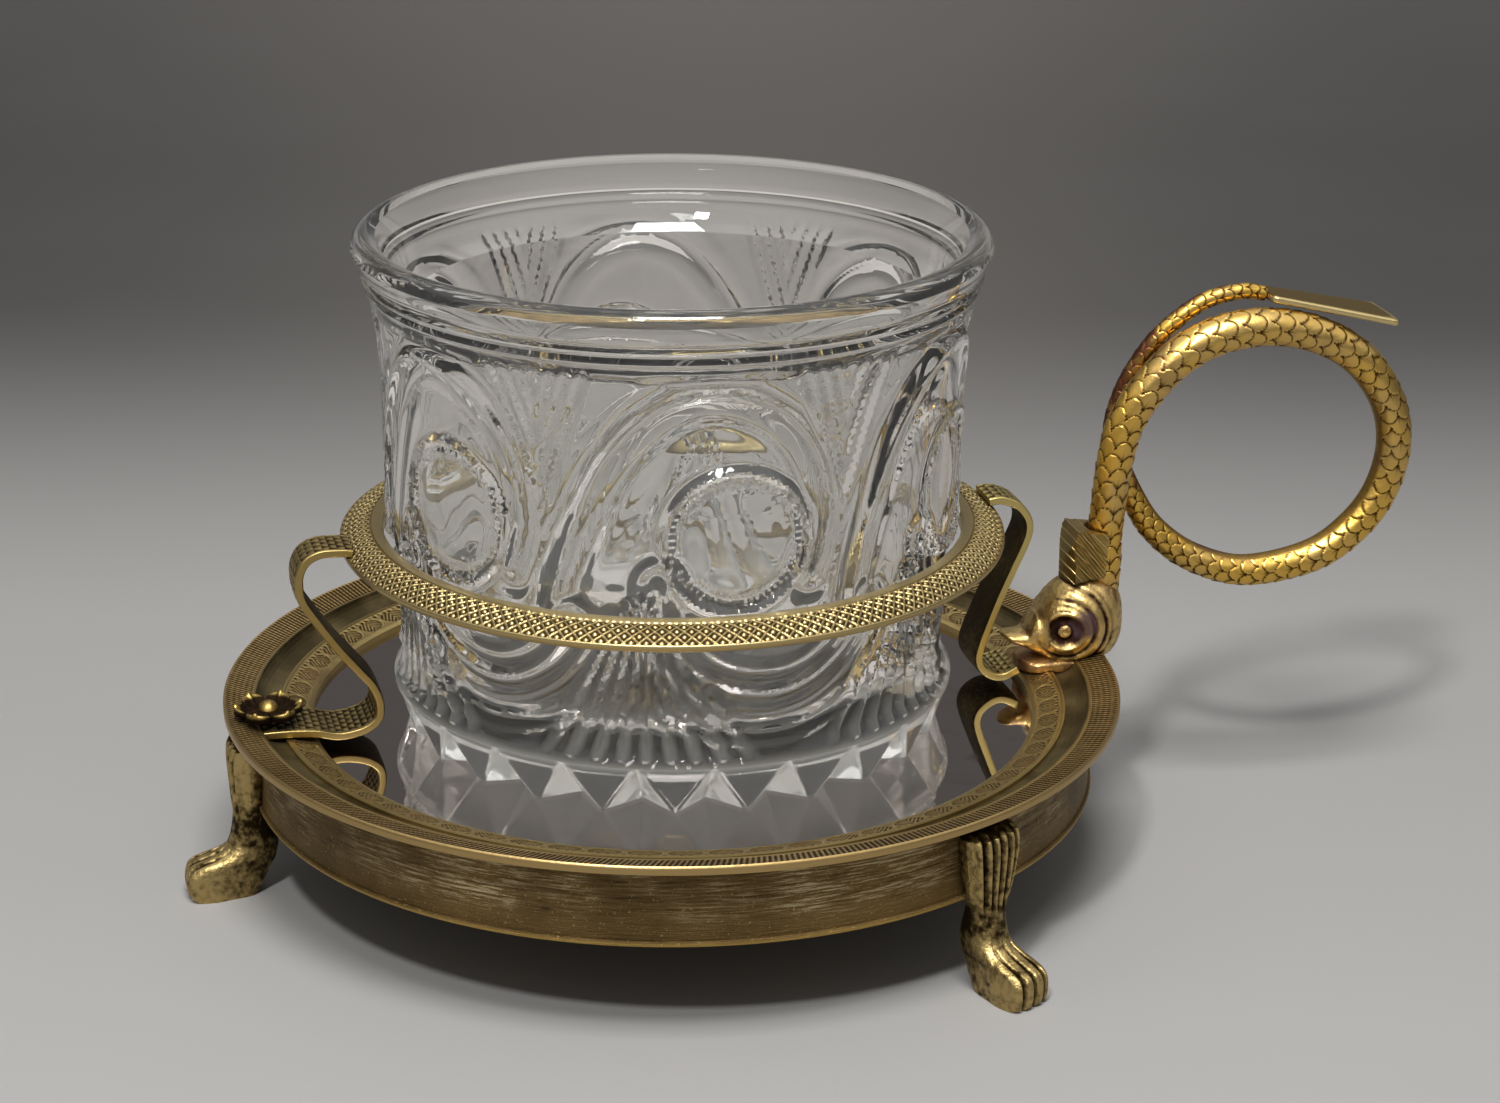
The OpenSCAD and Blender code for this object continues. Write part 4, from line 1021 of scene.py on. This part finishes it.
def floor_finish():
    """Pale grey near the front, with painted shade that darkens it with distance along the view,
    less so in the middle of the view, where a pool of the soft box's light is painted, than to
    its sides. Through the glass it is painted paler, as painted light."""
    finish = Finish("studio_table")
    x, y, _ = finish.axes()
    away = y * sight_y + x * sight_x
    cloud = finish.noise(14)
    # painted shade: darker with distance, with a painted pool of light that keeps the middle paler
    beside = ((x + 0.1) * sight_y - (y + 0.4325) * sight_x).math("DIVIDE", away + 0.444)
    middle = (beside + 0.01).math("ABSOLUTE").between(0.22, 0.0)
    base = finish.mix(away.between(-0.2, 0.14), (0.355, 0.347, 0.338), (0.318, 0.31, 0.3))
    dim = finish.mix(middle, (0.078, 0.075, 0.071), (0.128, 0.119, 0.112))
    base = finish.mix(away.between(0.08, 0.28), base, dim)
    dim = finish.mix(middle, (0.128, 0.122, 0.116), (0.21, 0.195, 0.183))
    base = finish.mix(away.between(0.35, 0.7), base, dim)
    base = finish.mix(cloud.between(0.35, 0.7) * 0.04, base, (0.2, 0.2, 0.2))
    # painted light: the table is paler where it is seen through the glass
    base = finish.mix(finish.ray("Transmission") * 0.75, base, (0.345, 0.316, 0.292))
    finish.paint(Base_Color=base, Roughness=0.8, Specular_IOR_Level=0.1)
    finish.bump(cloud, 0.00005)
    return finish


table = bpy.data.meshes.new("table")
corners = [(x * table_half, y * table_half, 0) for x, y in ((-1, -1), (1, -1), (1, 1), (-1, 1))]
table.from_pydata(corners, [], [(0, 1, 2, 3)])
table.materials.append(floor_finish().material)
table_piece = bpy.data.objects.new("table", table)
bpy.context.scene.collection.objects.link(table_piece)


def studio_sky():
    """Even light for matt surfaces. In metal the room shows, dark low down behind the object
    and bright overhead, by the direction's height and its y. Through glass it is paler."""
    world = bpy.data.worlds.new("studio")
    bpy.context.scene.world = world
    sky = Finish("studio", world)
    _, y, z = sky.axes(sky.node("ShaderNodeTexCoord"))
    tilted = z - y * 0.22
    high = tilted.between(0.22, 0.72)
    room = sky.mix(high, (0.1, 0.095, 0.092), (1.0, 1.0, 1.0))
    room = sky.mix(tilted.between(0.1, -0.1), room, (0.3, 0.3, 0.3))
    window = sky.mix(high, (0.56, 0.52, 0.485), (1.0, 0.98, 0.95))
    shown = sky.mix(sky.ray("Glossy"), (0.27, 0.27, 0.27), room)
    shown = sky.mix(sky.ray("Transmission"), shown, window)
    shown = sky.mix(sky.ray("Camera"), shown, tint("#8d8a87"))
    sky.feed(sky.tree.nodes["Background"].inputs["Color"], shown)
    sky.tree.nodes["Background"].inputs["Strength"].default_value = 1.0


studio_sky()


def lamp(name, at, aim, size, power):
    """A square soft box at a place in metres, turned to face a point."""
    light = bpy.data.lights.new(name, "AREA")
    light.size = size
    light.energy = power
    stand = bpy.data.objects.new(name, light)
    stand.location = at
    away = np.array(at) - np.array(aim)
    tilt = math.atan2(math.hypot(away[0], away[1]), away[2])
    stand.rotation_euler = (tilt, 0, math.atan2(away[0], -away[1]))
    bpy.context.scene.collection.objects.link(stand)


lamp("overhead", (-0.05, -0.33, 0.86), (0, 0, 0.03), 0.3, 6.8)
lamp("low_left", (-0.3, -0.55, 0.8), (0, 0, 0.04), 0.08, 4.3)

camera = bpy.data.objects.new("camera", bpy.data.cameras.new("camera"))
camera.data.sensor_width = 36.0
camera.data.lens = 85.2
camera.location = (-0.0999, -0.4325, 0.2035)
look, pitch, roll = math.radians(75.67), math.radians(-19.85), math.radians(0.423)
camera.rotation_mode = "XYZ"
level = np.array([math.cos(look), math.sin(look), 0])
ahead = level * math.cos(pitch) + np.array([0, 0, math.sin(pitch)])
right = np.array([math.sin(look), -math.cos(look), 0])
upward = np.cross(right, ahead)
matrix = np.eye(4)
matrix[:3, 0] = right * math.cos(roll) + upward * math.sin(roll)
matrix[:3, 1] = upward * math.cos(roll) - right * math.sin(roll)
matrix[:3, 2] = -ahead
matrix[:3, 3] = camera.location
camera.matrix_world = matrix.T.tolist()
camera.data.clip_start = 0.01
bpy.context.scene.collection.objects.link(camera)
bpy.context.scene.camera = camera
bpy.context.scene.view_settings.view_transform = "Standard"

bpy.context.view_layer.update()
